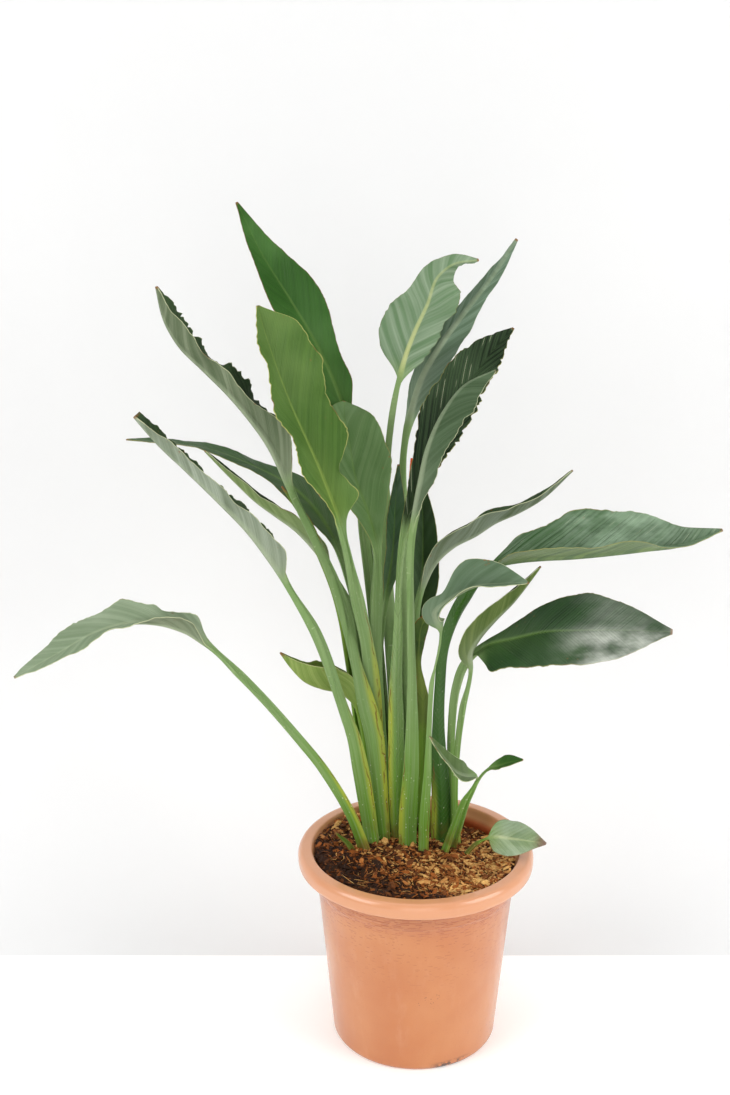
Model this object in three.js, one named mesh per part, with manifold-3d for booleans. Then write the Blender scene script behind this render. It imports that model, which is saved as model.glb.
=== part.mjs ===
// Potted bird of paradise: a round nursery pot, its root ball and a clump of long-stalked leaves.
// Millimetres, +Z up, the viewer on the -Y side, origin at the centre of the pot's flat base.
import * as THREE from 'three';
import { ConvexGeometry } from 'three/addons/geometries/ConvexGeometry.js';
import { mergeVertices } from 'three/addons/utils/BufferGeometryUtils.js';
import Module from 'manifold-3d';

// Pot
const POT_HEIGHT = 262;
const RIM_RADIUS = 153.5;
const RIM_INNER_RADIUS = 134.5;
const RIM_DEPTH = 20;
const RIM_EDGE = 7;
const SKIRT_THICKNESS = 4;
const SKIRT_CAVITY = 9;
const WALL_TOP_RADIUS = 131;
const BASE_RADIUS = 108;
const BASE_EDGE = 4;
const WALL = 3.5;
const FLOOR = 5;
const STEP_HEIGHT = 214;
const STEP_DEPTH = 0.8;
const POT_SEGMENTS = 48;
const DRAIN_COUNT = 5;
const DRAIN_RADIUS = 7;
const DRAIN_CIRCLE = 72;

// Soil
const GAP = 0.3;
const SOIL_RINGS = 10;
const SOIL_SEGMENTS = 36;
const SOIL_LEVEL = 244;
const SOIL_FRONT_RISE = 5;
const SOIL_BACK_DROP = 13;
const SOIL_MOUND = 4;
const SOIL_HEAP = 6;
const SOIL_ROUGHNESS = 3.2;
const HOLE_TOP = 256;

// Leaves
const BLADE_THICKNESS = 1.1;
const MARGIN_THICKNESS = 0.8;
const TIP_HALF_WIDTH = 1.2;
const RIB_HALF_WIDTH = 5;
const LEFT_PHASE = 0.6;
const RIGHT_PHASE = 2.4;

// A leaf is one swept body: stalk, then blade. `neck` is the row where the blade starts.
// Row: x, y, z of the midrib; turn of the upper face (0 to the viewer, 90 to +X) and its rise;
// half width left and right of the midrib; lift of the left and right half towards the upper face.
const LEAVES = {
  leaf_tallest: {
    depth: 11, neck: 4, steps: [8, 12], wave: 2.5, waves: 3, bend: 10,
    rows: [
      [-23, 98, 225, -20, 5, 7.5, 7.5, 25, 25],
      [-37, 102, 360, -20, 5, 7.5, 7.5, 25, 25],
      [-50, 103, 513, -15, 10, 7, 7, 25, 25],
      [-66, 105, 650, 0, 12, 6.5, 6.5, 25, 25],
      [-86, 110, 794, 10, 15, 7, 7, 25, 25],
      [-100, 116, 836, 12, 18, 20, 12, 20, 20],
      [-128, 130, 898, 12, 22, 22, 27, 16, 16],
      [-162, 150, 953, 12, 26, 29, 40, 14, 14],
      [-199, 180, 1008, 10, 28, 17, 22, 20, 20],
      [-233, 212, 1073, 10, 28, 1.2, 1.2, 20, 20],
    ],
  },
  leaf_hooked: {
    depth: 12, neck: 7, steps: [11, 14], wave: 5, waves: 3, bend: 8,
    rows: [
      [-42, 64, 225, 0, 5, 8, 8, -18, -18],
      [-51, 64, 334, 0, 5, 8.5, 9, -18, -18],
      [-55, 62, 410, 0, 5, 9, 12, -18, -18],
      [-58, 60, 453, 0, 5, 9, 13, -18, -18],
      [-60, 56, 484, 0, 5, 9, 12, -14, -14],
      [-64, 48, 522, 4, 5, 8, 9.5, -5, -5],
      [-75, 32, 583, 12, 5, 8, 8, 20, 20],
      [-97, 4, 694, 25, 8, 7, 7, 30, 30],
      [-109, 0, 728, 30, 10, 14, 24, 28, 20],
      [-125, 4, 769, 34, 10, 45, 34, 28, 20],
      [-139, 10, 800, 36, 12, 45, 46, 28, 18],
      [-157, 18, 840, 36, 14, 38, 50, 28, 16],
      [-170, 24, 874, 34, 14, 33, 54, 30, 18],
      [-182, 32, 908, 32, 12, 26, 48, 34, 22],
      [-191, 37, 937, 30, 8, 14, 30, 34, 26],
      [-195, 38, 956, 25, 0, 1.2, 1.2, 30, 30],
    ],
  },
  leaf_short_broad: {
    depth: 11, neck: 5, steps: [9, 11], wave: 1.5, waves: 2, bend: 8,
    rows: [
      [-28, 75, 225, 0, 5, 7.5, 7.5, -10, -10],
      [-38, 76, 300, 0, 5, 7.5, 7.5, -10, -10],
      [-48, 75, 430, 0, 5, 7.5, 7.5, -10, -10],
      [-52, 69, 516, 5, 5, 7.5, 7.5, -5, -5],
      [-52, 62, 577, 10, 5, 7.6, 7.6, 15, 15],
      [-52, 50, 656, 15, 8, 7, 7, 30, 30],
      [-64, 50, 700, 20, 10, 24, 26, 30, 14],
      [-78, 53, 739, 20, 14, 34, 46, 24, 12],
      [-86, 62, 783, 20, 24, 34, 45, 20, 12],
      [-92, 77, 812, 20, 44, 24, 34, 20, 14],
      [-93, 106, 829, 20, 60, 1.2, 1.2, 20, 14],
    ],
  },
  leaf_upper_left: {
    depth: 12, neck: 7, steps: [11, 13], wave: 3.5, waves: 4, bend: -14,
    rows: [
      [-39, 49, 225, 0, 5, 8, 8.5, -18, -18],
      [-44, 49, 277, 0, 5, 8.7, 10, -18, -18],
      [-50, 48, 340, 0, 5, 9.5, 12.5, -18, -18],
      [-58, 47, 403, 5, 5, 9.5, 15, -18, -18],
      [-67, 46, 440, 10, 5, 9, 15, -18, -18],
      [-78, 46, 495, 20, 8, 7.5, 7.5, -10, -10],
      [-99, 45, 583, 70, 14, 6.8, 6.8, 25, 25],
      [-162, 26, 739, 95, 28, 6.5, 6.5, 40, 40],
      [-186, 20, 792, 98, 36, 34, 26, 66, 52],
      [-207, 14, 824, 98, 38, 21, 32, 68, 50],
      [-233, 7, 857, 98, 38, 18, 29, 68, 50],
      [-259, 0, 885, 98, 38, 18, 25, 68, 54],
      [-285, -4, 913, 98, 36, 21, 25, 68, 58],
      [-300, -8, 942, 96, 30, 18, 22, 66, 64],
      [-308, -12, 982, 92, 15, 1.2, 1.2, 50, 50],
    ],
  },
  leaf_middle_left: {
    depth: 11, neck: 6, steps: [10, 13], wave: 3, waves: 4, bend: -10,
    rows: [
      [-53, 37, 225, 0, 5, 8.5, 8.5, -18, -18],
      [-65, 35, 305, 5, 5, 9.5, 11, -18, -18],
      [-74, 32, 358, 12, 5, 9, 12, -18, -18],
      [-82, 29, 400, 22, 7, 8, 10, -18, -18],
      [-94, 24, 440, 42, 12, 7, 7, -5, -5],
      [-130, 0, 554, 75, 28, 6.5, 6.5, 35, 35],
      [-168, -15, 631, 90, 38, 5.5, 5.5, 40, 40],
      [-184, -22, 658, 95, 43, 24, 20, 66, 46],
      [-206, -28, 691, 96, 42, 19, 20, 72, 50],
      [-241, -38, 733, 96, 40, 15, 15, 74, 54],
      [-274, -50, 771, 96, 38, 13, 14, 74, 60],
      [-305, -62, 806, 96, 36, 11, 14, 72, 64],
      [-330, -73, 840, 94, 34, 1.2, 9, 60, 70],
    ],
  },
  leaf_back_left: {
    depth: 9, neck: 4, steps: [8, 12], wave: 1.5, waves: 3, bend: 0,
    rows: [
      [-32, 114, 225, -20, 5, 6.5, 6.5, 25, 25],
      [-42, 117, 363, -25, 8, 6.5, 6.5, 25, 25],
      [-67, 114, 496, -30, 15, 6.5, 6.5, 30, 30],
      [-84, 108, 587, -20, 30, 6, 6, 30, 30],
      [-102, 107, 636, 0, 40, 6, 6, 35, 35],
      [-126, 114, 678, 10, 58, 18, 20, 0, 30],
      [-161, 126, 712, 10, 72, 20, 20, -10, 20],
      [-203, 139, 733, 5, 84, 15, 18, -8, 10],
      [-286, 168, 758, 0, 87, 14, 16, 4, 4],
      [-341, 186, 761, 0, 84, 12, 12, 10, 6],
      [-389, 200, 762, 0, 82, 1.2, 1.2, 15, 15],
    ],
  },
  leaf_narrow_left: {
    depth: 8, neck: 4, steps: [7, 11], wave: 1, waves: 3, bend: 0,
    rows: [
      [-46, 97, 225, 20, 5, 5.5, 5.5, 25, 25],
      [-62, 93, 370, 30, 5, 5.5, 5.5, 25, 25],
      [-76, 88, 502, 50, 15, 5.5, 5.5, 30, 30],
      [-92, 84, 572, 80, 24, 5, 5, 35, 35],
      [-111, 83, 608, 88, 34, 5, 5, 38, 38],
      [-132, 84, 639, 92, 42, 20, 15, 62, 55],
      [-157, 85, 666, 92, 46, 18, 15, 60, 52],
      [-182, 88, 684, 92, 50, 16, 14, 55, 50],
      [-206, 92, 701, 92, 52, 13, 12, 52, 48],
      [-232, 97, 725, 90, 52, 10, 10, 50, 48],
      [-272, 102, 766, 88, 52, 1.2, 1.2, 45, 45],
    ],
  },
  leaf_low_left: {
    depth: 8, neck: 5, steps: [9, 13], wave: 2.5, waves: 4, bend: 0,
    rows: [
      [-60, 20, 225, -10, 20, 8, 8, -18, -18],
      [-84, 11, 300, -20, 30, 7, 7, -18, -18],
      [-116, 0, 364, -15, 40, 6, 6, -10, -10],
      [-151, -20, 421, 0, 46, 5, 5, 10, 10],
      [-218, -56, 519, 10, 48, 4.5, 4.5, 30, 30],
      [-255, -70, 563, 14, 52, 4.5, 4.5, 40, 40],
      [-284, -78, 583, 10, 56, 24, 20, 90, 50],
      [-329, -90, 598, 0, 58, 15, 21, 56, 30],
      [-375, -108, 594, -6, 54, 17, 22, 26, 18],
      [-422, -130, 573, -12, 50, 15, 17, 16, 10],
      [-467, -150, 552, -16, 48, 1.2, 1.2, 20, 20],
    ],
  },
  bract_left: {
    depth: 7, neck: 3, steps: [6, 9], wave: 0.6, waves: 2, bend: 0,
    rows: [
      [-56, 84, 225, 20, 5, 5, 5, 25, 25],
      [-63, 80, 330, 60, 15, 5, 5, 30, 30],
      [-72, 78, 400, 75, 30, 5, 5, 35, 35],
      [-80, 82, 425, 85, 45, 6, 6, 45, 45],
      [-98, 79, 443, 92, 64, 36, 29, 60, 50],
      [-123, 73, 452, 94, 70, 44, 35, 64, 58],
      [-146, 60, 468, 94, 68, 36, 28, 62, 55],
      [-162, 54, 488, 92, 62, 20, 15, 60, 55],
      [-176, 48, 511, 90, 56, 1.2, 1.2, 50, 50],
    ],
  },
  leaf_top: {
    depth: 11, neck: 4, steps: [9, 13], wave: 2.5, waves: 3, bend: 0,
    rows: [
      [-8, 77, 225, 180, 5, 7.5, 7.5, 25, 25],
      [-22, 80, 378, 180, 5, 7.5, 7.5, 25, 25],
      [-31, 87, 502, 178, 5, 7.5, 7.5, 25, 25],
      [-40, 96, 677, 176, 6, 7, 7, 25, 25],
      [-21, 100, 866, 172, 8, 9, 8, 25, 25],
      [-15, 99, 888, 172, 9, 26, 37, 22, 22],
      [-4, 97, 918, 172, 11, 35, 50, 20, 22],
      [11, 92, 952, 172, 14, 35, 34, 18, 18],
      [24, 82, 988, 172, 18, 27, 19, 18, 16],
      [42, 72, 1003, 172, 20, 9, 12, 18, 16],
      [71, 62, 1008, 172, 22, 1.2, 1.2, 20, 20],
    ],
  },
  leaf_upper_right: {
    depth: 11, neck: 4, steps: [9, 12], wave: 2, waves: 3, bend: 0,
    rows: [
      [3, 90, 225, 180, 5, 7, 7, 25, 25],
      [-9, 93, 372, 180, 5, 7, 7, 25, 25],
      [-12, 102, 511, 176, 5, 7, 7, 25, 25],
      [-18, 114, 673, 170, 5, 6.5, 6.5, 25, 25],
      [-10, 121, 800, 160, 8, 6, 6, 30, 30],
      [4, 123, 852, 155, 12, 22, 20, 40, 40],
      [30, 122, 899, 152, 16, 28, 26, 42, 42],
      [60, 120, 941, 150, 18, 20, 20, 45, 45],
      [90, 115, 981, 150, 18, 13, 12, 48, 48],
      [121, 105, 1031, 150, 14, 1.2, 1.2, 45, 45],
    ],
  },
  leaf_ribbed: {
    depth: 10, neck: 6, steps: [10, 13], wave: 2.5, waves: 3, bend: 6,
    rows: [
      [-21, 52, 225, 0, 5, 7.5, 8.5, -18, -18],
      [-24, 51, 277, 0, 5, 8.2, 9, -18, -18],
      [-25, 48, 341, 0, 5, 9.5, 9.5, -18, -18],
      [-25, 46, 404, 0, 5, 10, 10, -18, -18],
      [-26, 43, 466, 0, 5, 8.8, 8.8, -18, -18],
      [-24, 39, 527, -5, 5, 6.7, 6.7, -10, -10],
      [-15, 42, 680, -14, 12, 5.5, 5.5, 30, 30],
      [10, 58, 757, -16, 24, 18, 22, 26, 24],
      [34, 72, 803, -16, 28, 36, 33, 20, 18],
      [60, 90, 845, -16, 30, 36, 31, 18, 16],
      [90, 114, 885, -16, 30, 27, 20, 18, 18],
      [124, 142, 918, -16, 30, 1.2, 1.2, 20, 20],
    ],
  },
  leaf_twisted: {
    depth: 10, neck: 6, steps: [10, 12], wave: 2.5, waves: 4, bend: 0,
    rows: [
      [-9, 33, 225, 0, 5, 11, 11, -18, -18],
      [-9, 33, 286, 0, 5, 11.5, 11.5, -18, -18],
      [-6, 32, 349, 0, 5, 10, 10, -18, -18],
      [-5, 30, 411, 0, 5, 7.9, 8.2, -18, -18],
      [-6, 27, 472, 10, 5, 6.4, 6.4, -18, -18],
      [-9, 22, 550, 35, 5, 5.4, 5.4, -10, -10],
      [-7, 14, 697, 70, 0, 5.4, 5.4, 35, 35],
      [0, 10, 745, 88, -10, 16, 14, 55, 45],
      [10, 5, 792, 92, -20, 22, 22, 62, 50],
      [28, 0, 834, 92, -30, 26, 28, 66, 50],
      [52, -5, 866, 88, -50, 26, 26, 60, 50],
      [88, -10, 885, 84, -72, 1.2, 1.2, 50, 50],
    ],
  },
  leaf_back_right: {
    depth: 8, neck: 3, steps: [7, 9], wave: 1, waves: 2, bend: 0,
    rows: [
      [8, 114, 225, 0, 5, 5.5, 5.5, 25, 25],
      [3, 118, 370, 0, 5, 5.5, 5.5, 25, 25],
      [3, 126, 455, 0, 5, 5.5, 5.5, 30, 30],
      [5, 136, 520, 0, 8, 6, 6, 30, 30],
      [10, 145, 566, 0, 10, 16, 24, 35, 35],
      [12, 154, 636, 0, 12, 20, 23, 35, 35],
      [10, 160, 693, 0, 14, 13, 11, 35, 35],
      [6, 166, 728, 0, 16, 1.2, 1.2, 35, 35],
    ],
  },
  leaf_narrow_right: {
    depth: 8, neck: 3, steps: [7, 12], wave: 1, waves: 4, bend: 0,
    rows: [
      [20, 78, 225, -20, 5, 6, 6, 25, 25],
      [10, 78, 376, -30, 5, 6, 6, 25, 25],
      [0, 76, 500, -50, 10, 5.5, 5.5, 30, 30],
      [9, 68, 590, -70, 28, 5.5, 5.5, 40, 40],
      [32, 55, 638, -80, 42, 15, 20, 50, 60],
      [49, 50, 654, -84, 50, 18, 24, 45, 60],
      [72, 44, 668, -84, 54, 20, 25, 45, 60],
      [98, 36, 688, -84, 56, 18, 20, 40, 60],
      [124, 29, 702, -84, 56, 12, 14, 40, 55],
      [150, 21, 720, -84, 54, 9, 10, 40, 50],
      [187, 9, 760, -84, 44, 1.2, 1.2, 40, 45],
    ],
  },
  leaf_upper_flat_right: {
    depth: 12, neck: 7, steps: [11, 14], wave: 2, waves: 3, bend: -8,
    rows: [
      [35, 47, 225, 0, 5, 11.5, 12, -18, -18],
      [35, 46, 310, 0, 5, 12, 12, -18, -18],
      [31, 44, 374, 0, 5, 9.8, 9.8, -18, -18],
      [30, 42, 406, 0, 5, 8, 8, -18, -18],
      [31, 38, 468, -5, 5, 7, 7, -18, -18],
      [36, 28, 531, -15, 15, 7, 7, -5, -5],
      [58, 6, 597, -18, 38, 7, 7, 25, 25],
      [98, -19, 650, -5, 60, 7, 7, 45, 45],
      [118, -27, 655, 0, 64, 26, 34, 50, 56],
      [150, -38, 661, 2, 66, 38, 40, 50, 56],
      [178, -47, 665, 2, 68, 53, 40, 50, 54],
      [214, -60, 672, 2, 68, 54, 40, 50, 54],
      [258, -76, 682, 0, 68, 46, 36, 50, 54],
      [300, -92, 693, -5, 62, 24, 28, 45, 44],
      [343, -105, 715, -10, 50, 1.2, 1.2, 40, 40],
    ],
  },
  leaf_drooping: {
    depth: 6, neck: 5, steps: [9, 14], wave: 1, waves: 3, bend: 0,
    rows: [
      [11, 17, 225, 0, 5, 6.3, 6.3, -18, -18],
      [12, 15, 294, 0, 5, 6.5, 6.5, -18, -18],
      [15, 11, 358, 0, 5, 4.9, 4.9, -18, -18],
      [16, 6, 421, 0, 5, 3.3, 3.3, -18, -18],
      [18, 0, 483, -5, 5, 3.1, 3.1, -10, -10],
      [27, -16, 566, -12, 12, 3.1, 3.1, 15, 15],
      [20, -30, 590, -14, 18, 17, 14, 10, 14],
      [34, -46, 610, -36, 40, 13, 16, 30, 36],
      [66, -68, 636, -30, 60, 33, 20, 50, 40],
      [92, -84, 644, -20, 62, 24, 18, 45, 35],
      [124, -100, 650, -20, 60, 1.2, 1.2, 30, 30],
    ],
  },
  leaf_lower_right: {
    depth: 10, neck: 5, steps: [9, 14], wave: 1.5, waves: 3, bend: 0,
    rows: [
      [52, 66, 225, 0, 5, 5, 5, -10, -10],
      [49, 58, 330, 0, 5, 4.8, 4.8, -10, -10],
      [48, 48, 403, -10, 5, 4.8, 4.8, -10, -10],
      [53, 34, 470, -30, 18, 4.8, 4.8, 10, 10],
      [62, 14, 508, -30, 30, 5, 5, 24, 24],
      [76, -3, 531, -18, 38, 5.5, 5.5, 24, 24],
      [87, -11, 542, -8, 40, 6, 33, 16, 14],
      [116, -28, 556, 0, 42, 17, 40, 12, 10],
      [152, -48, 572, 0, 42, 33, 48, 10, 8],
      [192, -66, 580, 4, 42, 47, 49, 10, 8],
      [238, -86, 587, 6, 42, 34, 41, 10, 10],
      [293, -106, 592, 8, 42, 3, 3, 14, 14],
    ],
  },
  leaf_folded_right: {
    depth: 7, neck: 4, steps: [9, 11], wave: 1, waves: 3, bend: 0,
    rows: [
      [60, 44, 225, 0, 5, 4, 4, -10, -10],
      [53, 40, 313, 0, 5, 3.8, 3.8, -10, -10],
      [56, 28, 400, -20, 5, 3.8, 3.8, -10, -10],
      [60, 16, 445, -50, 10, 3.8, 3.8, 10, 10],
      [68, -4, 510, -80, 24, 3.6, 3.6, 40, 40],
      [67, -16, 534, -88, 34, 14, 16, 58, 66],
      [76, -24, 556, -90, 40, 15, 22, 60, 70],
      [92, -32, 580, -90, 42, 16, 22, 60, 70],
      [115, -40, 609, -90, 40, 12, 15, 60, 70],
      [129, -46, 631, -90, 36, 7, 9, 60, 65],
      [144, -52, 656, -90, 32, 1.2, 1.2, 50, 50],
    ],
  },
  leaf_small_left: {
    depth: 5, neck: 3, steps: [5, 8], wave: 0.6, waves: 2, bend: 0,
    rows: [
      [35, 18, 225, -20, 10, 5, 5, 25, 25],
      [49, 5, 281, -30, 20, 4, 4, 25, 25],
      [61, -5, 325, -20, 30, 3, 3, 30, 30],
      [76, -16, 366, 0, 60, 2.5, 2.5, 30, 30],
      [63, -27, 371, 20, 60, 12, 14, 40, 30],
      [49, -38, 382, 30, 45, 17, 16, 40, 30],
      [32, -50, 408, 35, 40, 12, 9, 40, 30],
      [13, -60, 441, 35, 35, 1.2, 1.2, 40, 30],
    ],
  },
  leaf_small_right: {
    depth: 4, neck: 3, steps: [5, 7], wave: 0.4, waves: 2, bend: 0,
    rows: [
      [48, 32, 225, -20, 10, 4, 4, 25, 25],
      [60, 18, 281, -30, 20, 3, 3, 25, 25],
      [72, 8, 330, -20, 30, 2.5, 2.5, 30, 30],
      [94, -6, 373, 0, 50, 2, 2, 30, 30],
      [104, -12, 379, 0, 55, 8, 6, 20, 20],
      [117, -22, 389, 0, 55, 9, 7, 20, 20],
      [133, -32, 397, 0, 55, 1.2, 1.2, 20, 20],
    ],
  },
  leaf_rim: {
    depth: 4, neck: 3, steps: [5, 9], wave: 0.6, waves: 2, bend: 0,
    rows: [
      [60, 12, 228, 0, 30, 3, 3, 25, 25],
      [68, 9, 245, 0, 40, 2.6, 2.6, 25, 25],
      [82, 4, 263, 0, 46, 2.4, 2.4, 25, 25],
      [96, -2, 273, 0, 50, 2.4, 2.4, 25, 25],
      [104, -7, 277, 0, 52, 18, 16, 12, 12],
      [120, -17, 280, 0, 52, 22, 24, 8, 8],
      [140, -30, 284, 0, 52, 17, 20, 8, 8],
      [164, -46, 288, 0, 50, 1.5, 1.5, 12, 12],
    ],
  },
  sprout_left: {
    depth: 6, neck: 1, steps: [3, 5], wave: 0, waves: 1, bend: 0,
    rows: [
      [-80, 26, 228, 0, 30, 4.5, 4.5, 20, 20],
      [-84, 14, 247, 0, 40, 4, 4, 30, 30],
      [-92, 3, 264, 0, 45, 4, 4, 40, 40],
      [-104, -8, 283, 0, 45, 1.2, 1.2, 40, 40],
    ],
  },
  bract_right: {
    depth: 8, neck: 2, steps: [6, 12], wave: 0.5, waves: 2, bend: 0,
    rows: [
      [13, 58, 225, 0, 5, 6.5, 6.5, -18, -18],
      [11, 57, 337, 0, 5, 6.4, 6.4, -18, -18],
      [11, 56, 400, 0, 5, 7, 7.5, -18, -18],
      [10, 55, 447, 0, 5, 7, 7.5, -18, -18],
      [7, 54, 468, 0, 5, 5.5, 5.5, -18, -18],
      [4, 53, 490, 0, 5, 4, 3.5, -18, -18],
      [4, 52, 523, 5, 5, 7.9, 7.3, -10, -10],
      [7, 50, 548, 10, 5, 9.5, 9.5, 0, 0],
      [18, 48, 568, 15, 5, 1.4, 1.4, 0, 0],
    ],
  },
  leaf_middle_back: {
    depth: 7, neck: 3, steps: [6, 8], wave: 0.6, waves: 3, bend: 0,
    rows: [
      [-37, 88, 225, 10, 5, 4.5, 4.5, 25, 25],
      [-46, 90, 374, 10, 5, 5, 5, 25, 25],
      [-48, 86, 501, 15, 5, 5, 5, 30, 30],
      [-40, 79, 575, 15, 5, 5, 5, 35, 35],
      [-31, 74, 640, 15, 8, 17, 15, 40, 40],
      [-28, 70, 702, 15, 8, 14, 14, 40, 40],
      [-24, 66, 756, 15, 8, 1.2, 1.2, 40, 40],
    ],
  },
  bract_red_tip: {
    depth: 6, neck: 3, steps: [6, 6], wave: 0, waves: 1, bend: 0,
    rows: [
      [-12, 109, 225, 10, 5, 5.5, 5.5, 25, 25],
      [-10, 112, 368, 10, 5, 5, 5, 25, 25],
      [-10, 122, 494, 15, 5, 4.5, 4.5, 30, 30],
      [-9, 132, 617, 15, 5, 4.5, 4.5, 35, 35],
      [-6, 136, 684, 15, 8, 8, 8, 40, 40],
      [-5, 140, 749, 15, 8, 1.2, 1.2, 40, 40],
    ],
  },
  bract_yellow: {
    depth: 7, neck: 3, steps: [7, 7], wave: 0.6, waves: 2, bend: 0,
    rows: [
      [-60, 98, 225, 20, 5, 5, 5, 25, 25],
      [-76, 105, 380, 30, 5, 5, 5, 25, 25],
      [-88, 105, 470, 50, 20, 5, 5, 30, 30],
      [-110, 70, 592, 80, 30, 7, 6, 45, 45],
      [-127, 66, 638, 92, 40, 11, 9, 55, 50],
      [-144, 68, 680, 94, 46, 11, 9, 55, 50],
      [-172, 72, 726, 92, 50, 1.2, 1.2, 50, 45],
    ],
  },
};

const LEAF_GREEN = '#3f6b3c';
const STALK_GREEN = '#5f8a3f';
const BRACT_GREEN = '#8a9a3c';
const POT_COLOUR = '#c4714e';
const SOIL_COLOUR = '#4a2f1c';

const wasm = await Module();
wasm.setup();
const { Manifold, Mesh } = wasm;

// Repeatable random numbers
function seeded(seed) {
  let state = seed;
  return () => {
    state = (state * 1664525 + 1013904223) % 4294967296;
    return state / 4294967296;
  };
}

function radians(degrees) {
  return degrees * Math.PI / 180;
}

// Direction from a compass turn (0 to the viewer) and a rise
function facing(turn, rise) {
  const flat = Math.cos(radians(rise));
  return new THREE.Vector3(
    Math.sin(radians(turn)) * flat, -Math.cos(radians(turn)) * flat, Math.sin(radians(rise)));
}

// Chord lengths along the rows
function chords(rows) {
  const at = [0];
  for (let i = 1; i < rows.length; i++) {
    const step = Math.hypot(
      rows[i][0] - rows[i - 1][0], rows[i][1] - rows[i - 1][1], rows[i][2] - rows[i - 1][2]);
    at.push(at[i - 1] + step);
  }
  return at;
}

// Smooth curve through the values, with a slope at each from its two neighbours
function smooth(at, values, s) {
  const last = at.length - 1;
  let i = 0;
  while (i < last - 1 && s > at[i + 1]) i++;
  const slope = (k) => {
    if (k === 0) return (values[1] - values[0]) / (at[1] - at[0]);
    if (k === last) return (values[last] - values[last - 1]) / (at[last] - at[last - 1]);
    const before = (values[k] - values[k - 1]) / (at[k] - at[k - 1]);
    const after = (values[k + 1] - values[k]) / (at[k + 1] - at[k]);
    const share = (at[k + 1] - at[k]) / (at[k + 1] - at[k - 1]);
    return before * share + after * (1 - share);
  };
  const span = at[i + 1] - at[i];
  const t = (s - at[i]) / span;
  const t2 = t * t;
  const t3 = t2 * t;
  return values[i] * (2 * t3 - 3 * t2 + 1) + values[i + 1] * (3 * t2 - 2 * t3)
    + span * (slope(i) * (t3 - 2 * t2 + t) + slope(i + 1) * (t3 - t2));
}

function column(rows, index) {
  return rows.map((row) => row[index]);
}

// Everything about a leaf at one place along it: point, directions, widths, lifts
function sampler(leaf) {
  const rows = leaf.rows;
  const at = chords(rows);
  const faces = rows.map((row) => facing(row[3], row[4]));
  const neck = at[leaf.neck];
  const end = at[at.length - 1];
  const point = (s) => new THREE.Vector3(
    smooth(at, column(rows, 0), s), smooth(at, column(rows, 1), s), smooth(at, column(rows, 2), s));
  const place = (s) => {
    const ahead = point(Math.min(s + 2, end));
    const behind = point(Math.max(s - 2, 0));
    const along = ahead.sub(behind).normalize();
    const up = new THREE.Vector3(
      smooth(at, faces.map((f) => f.x), s),
      smooth(at, faces.map((f) => f.y), s),
      smooth(at, faces.map((f) => f.z), s));
    up.addScaledVector(along, -up.dot(along)).normalize();
    const side = new THREE.Vector3().crossVectors(along, up);
    const blade = Math.max(0, (s - neck) / (end - neck));
    const join = THREE.MathUtils.smoothstep(s, neck - 12, neck + 22);
    const petiole = THREE.MathUtils.lerp(1, 0.75, Math.min(1, s / neck));
    const ribbed = 0.2 + 0.25 * (1 - blade) ** 0.6;
    return {
      centre: point(s), along, up, side, blade, join,
      left: Math.max(TIP_HALF_WIDTH, smooth(at, column(rows, 5), s)),
      right: Math.max(TIP_HALF_WIDTH, smooth(at, column(rows, 6), s)),
      liftLeft: smooth(at, column(rows, 7), s),
      liftRight: smooth(at, column(rows, 8), s),
      depth: Math.max(BLADE_THICKNESS, leaf.depth * THREE.MathUtils.lerp(
        petiole, ribbed, THREE.MathUtils.smoothstep(s, neck - 60, neck + 40))),
    };
  };
  return { neck, end, place };
}

// Upper and lower point of a section at c, from -1 (left margin) to 1 (right margin)
function sectionPoint(here, leaf, c) {
  const width = c < 0 ? here.left : here.right;
  const lift = c < 0 ? here.liftLeft : here.liftRight;
  const share = Math.abs(c);
  const bend = leaf.bend * here.join;
  const steps = 4;
  let across = 0;
  let rise = 0;
  let angle = radians(lift);
  for (let k = 0; k < steps; k++) {
    angle = radians(lift + bend * share * (k + 0.5) / steps);
    across += Math.cos(angle) * share * width / steps;
    rise += Math.sin(angle) * share * width / steps;
  }
  const sign = c < 0 ? -1 : 1;
  const outward = radians(lift + bend * share);
  const normalAcross = -sign * Math.sin(outward) * (share > 0 ? 1 : 0);
  const normalRise = share > 0 ? Math.cos(outward) : 1;
  const ripple = leaf.wave * here.join * share * share * Math.sin(Math.PI * here.blade)
    * Math.sin(2 * Math.PI * leaf.waves * here.blade + (c < 0 ? LEFT_PHASE : RIGHT_PHASE));
  const stalkThickness = here.depth * (0.3 + 0.7 * Math.sqrt(Math.max(0, 1 - share * share)));
  const ribbed = Math.max(0, 1 - share * width / RIB_HALF_WIDTH);
  const bladeThickness = MARGIN_THICKNESS
    + (BLADE_THICKNESS - MARGIN_THICKNESS) * (1 - share) + (here.depth - BLADE_THICKNESS) * ribbed;
  const thickness = THREE.MathUtils.lerp(stalkThickness, bladeThickness, here.join);
  const x = sign * across + normalAcross * ripple;
  const z = rise + normalRise * ripple + here.depth / 2;
  const upper = here.centre.clone().addScaledVector(here.side, x).addScaledVector(here.up, z);
  const lower = upper.clone()
    .addScaledVector(here.side, -normalAcross * thickness)
    .addScaledVector(here.up, -normalRise * thickness);
  return [upper, lower];
}

const ACROSS = [-1, -0.5, 0, 0.5, 1];

// Places along the leaf where it has a section
function stations(leaf, neck, end) {
  const [stalkSteps, bladeSteps] = leaf.steps;
  const stops = [];
  for (let i = 0; i < stalkSteps; i++) stops.push(neck * i / stalkSteps);
  for (let i = 0; i <= bladeSteps; i++) stops.push(neck + (end - neck) * i / bladeSteps);
  return stops;
}

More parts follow.
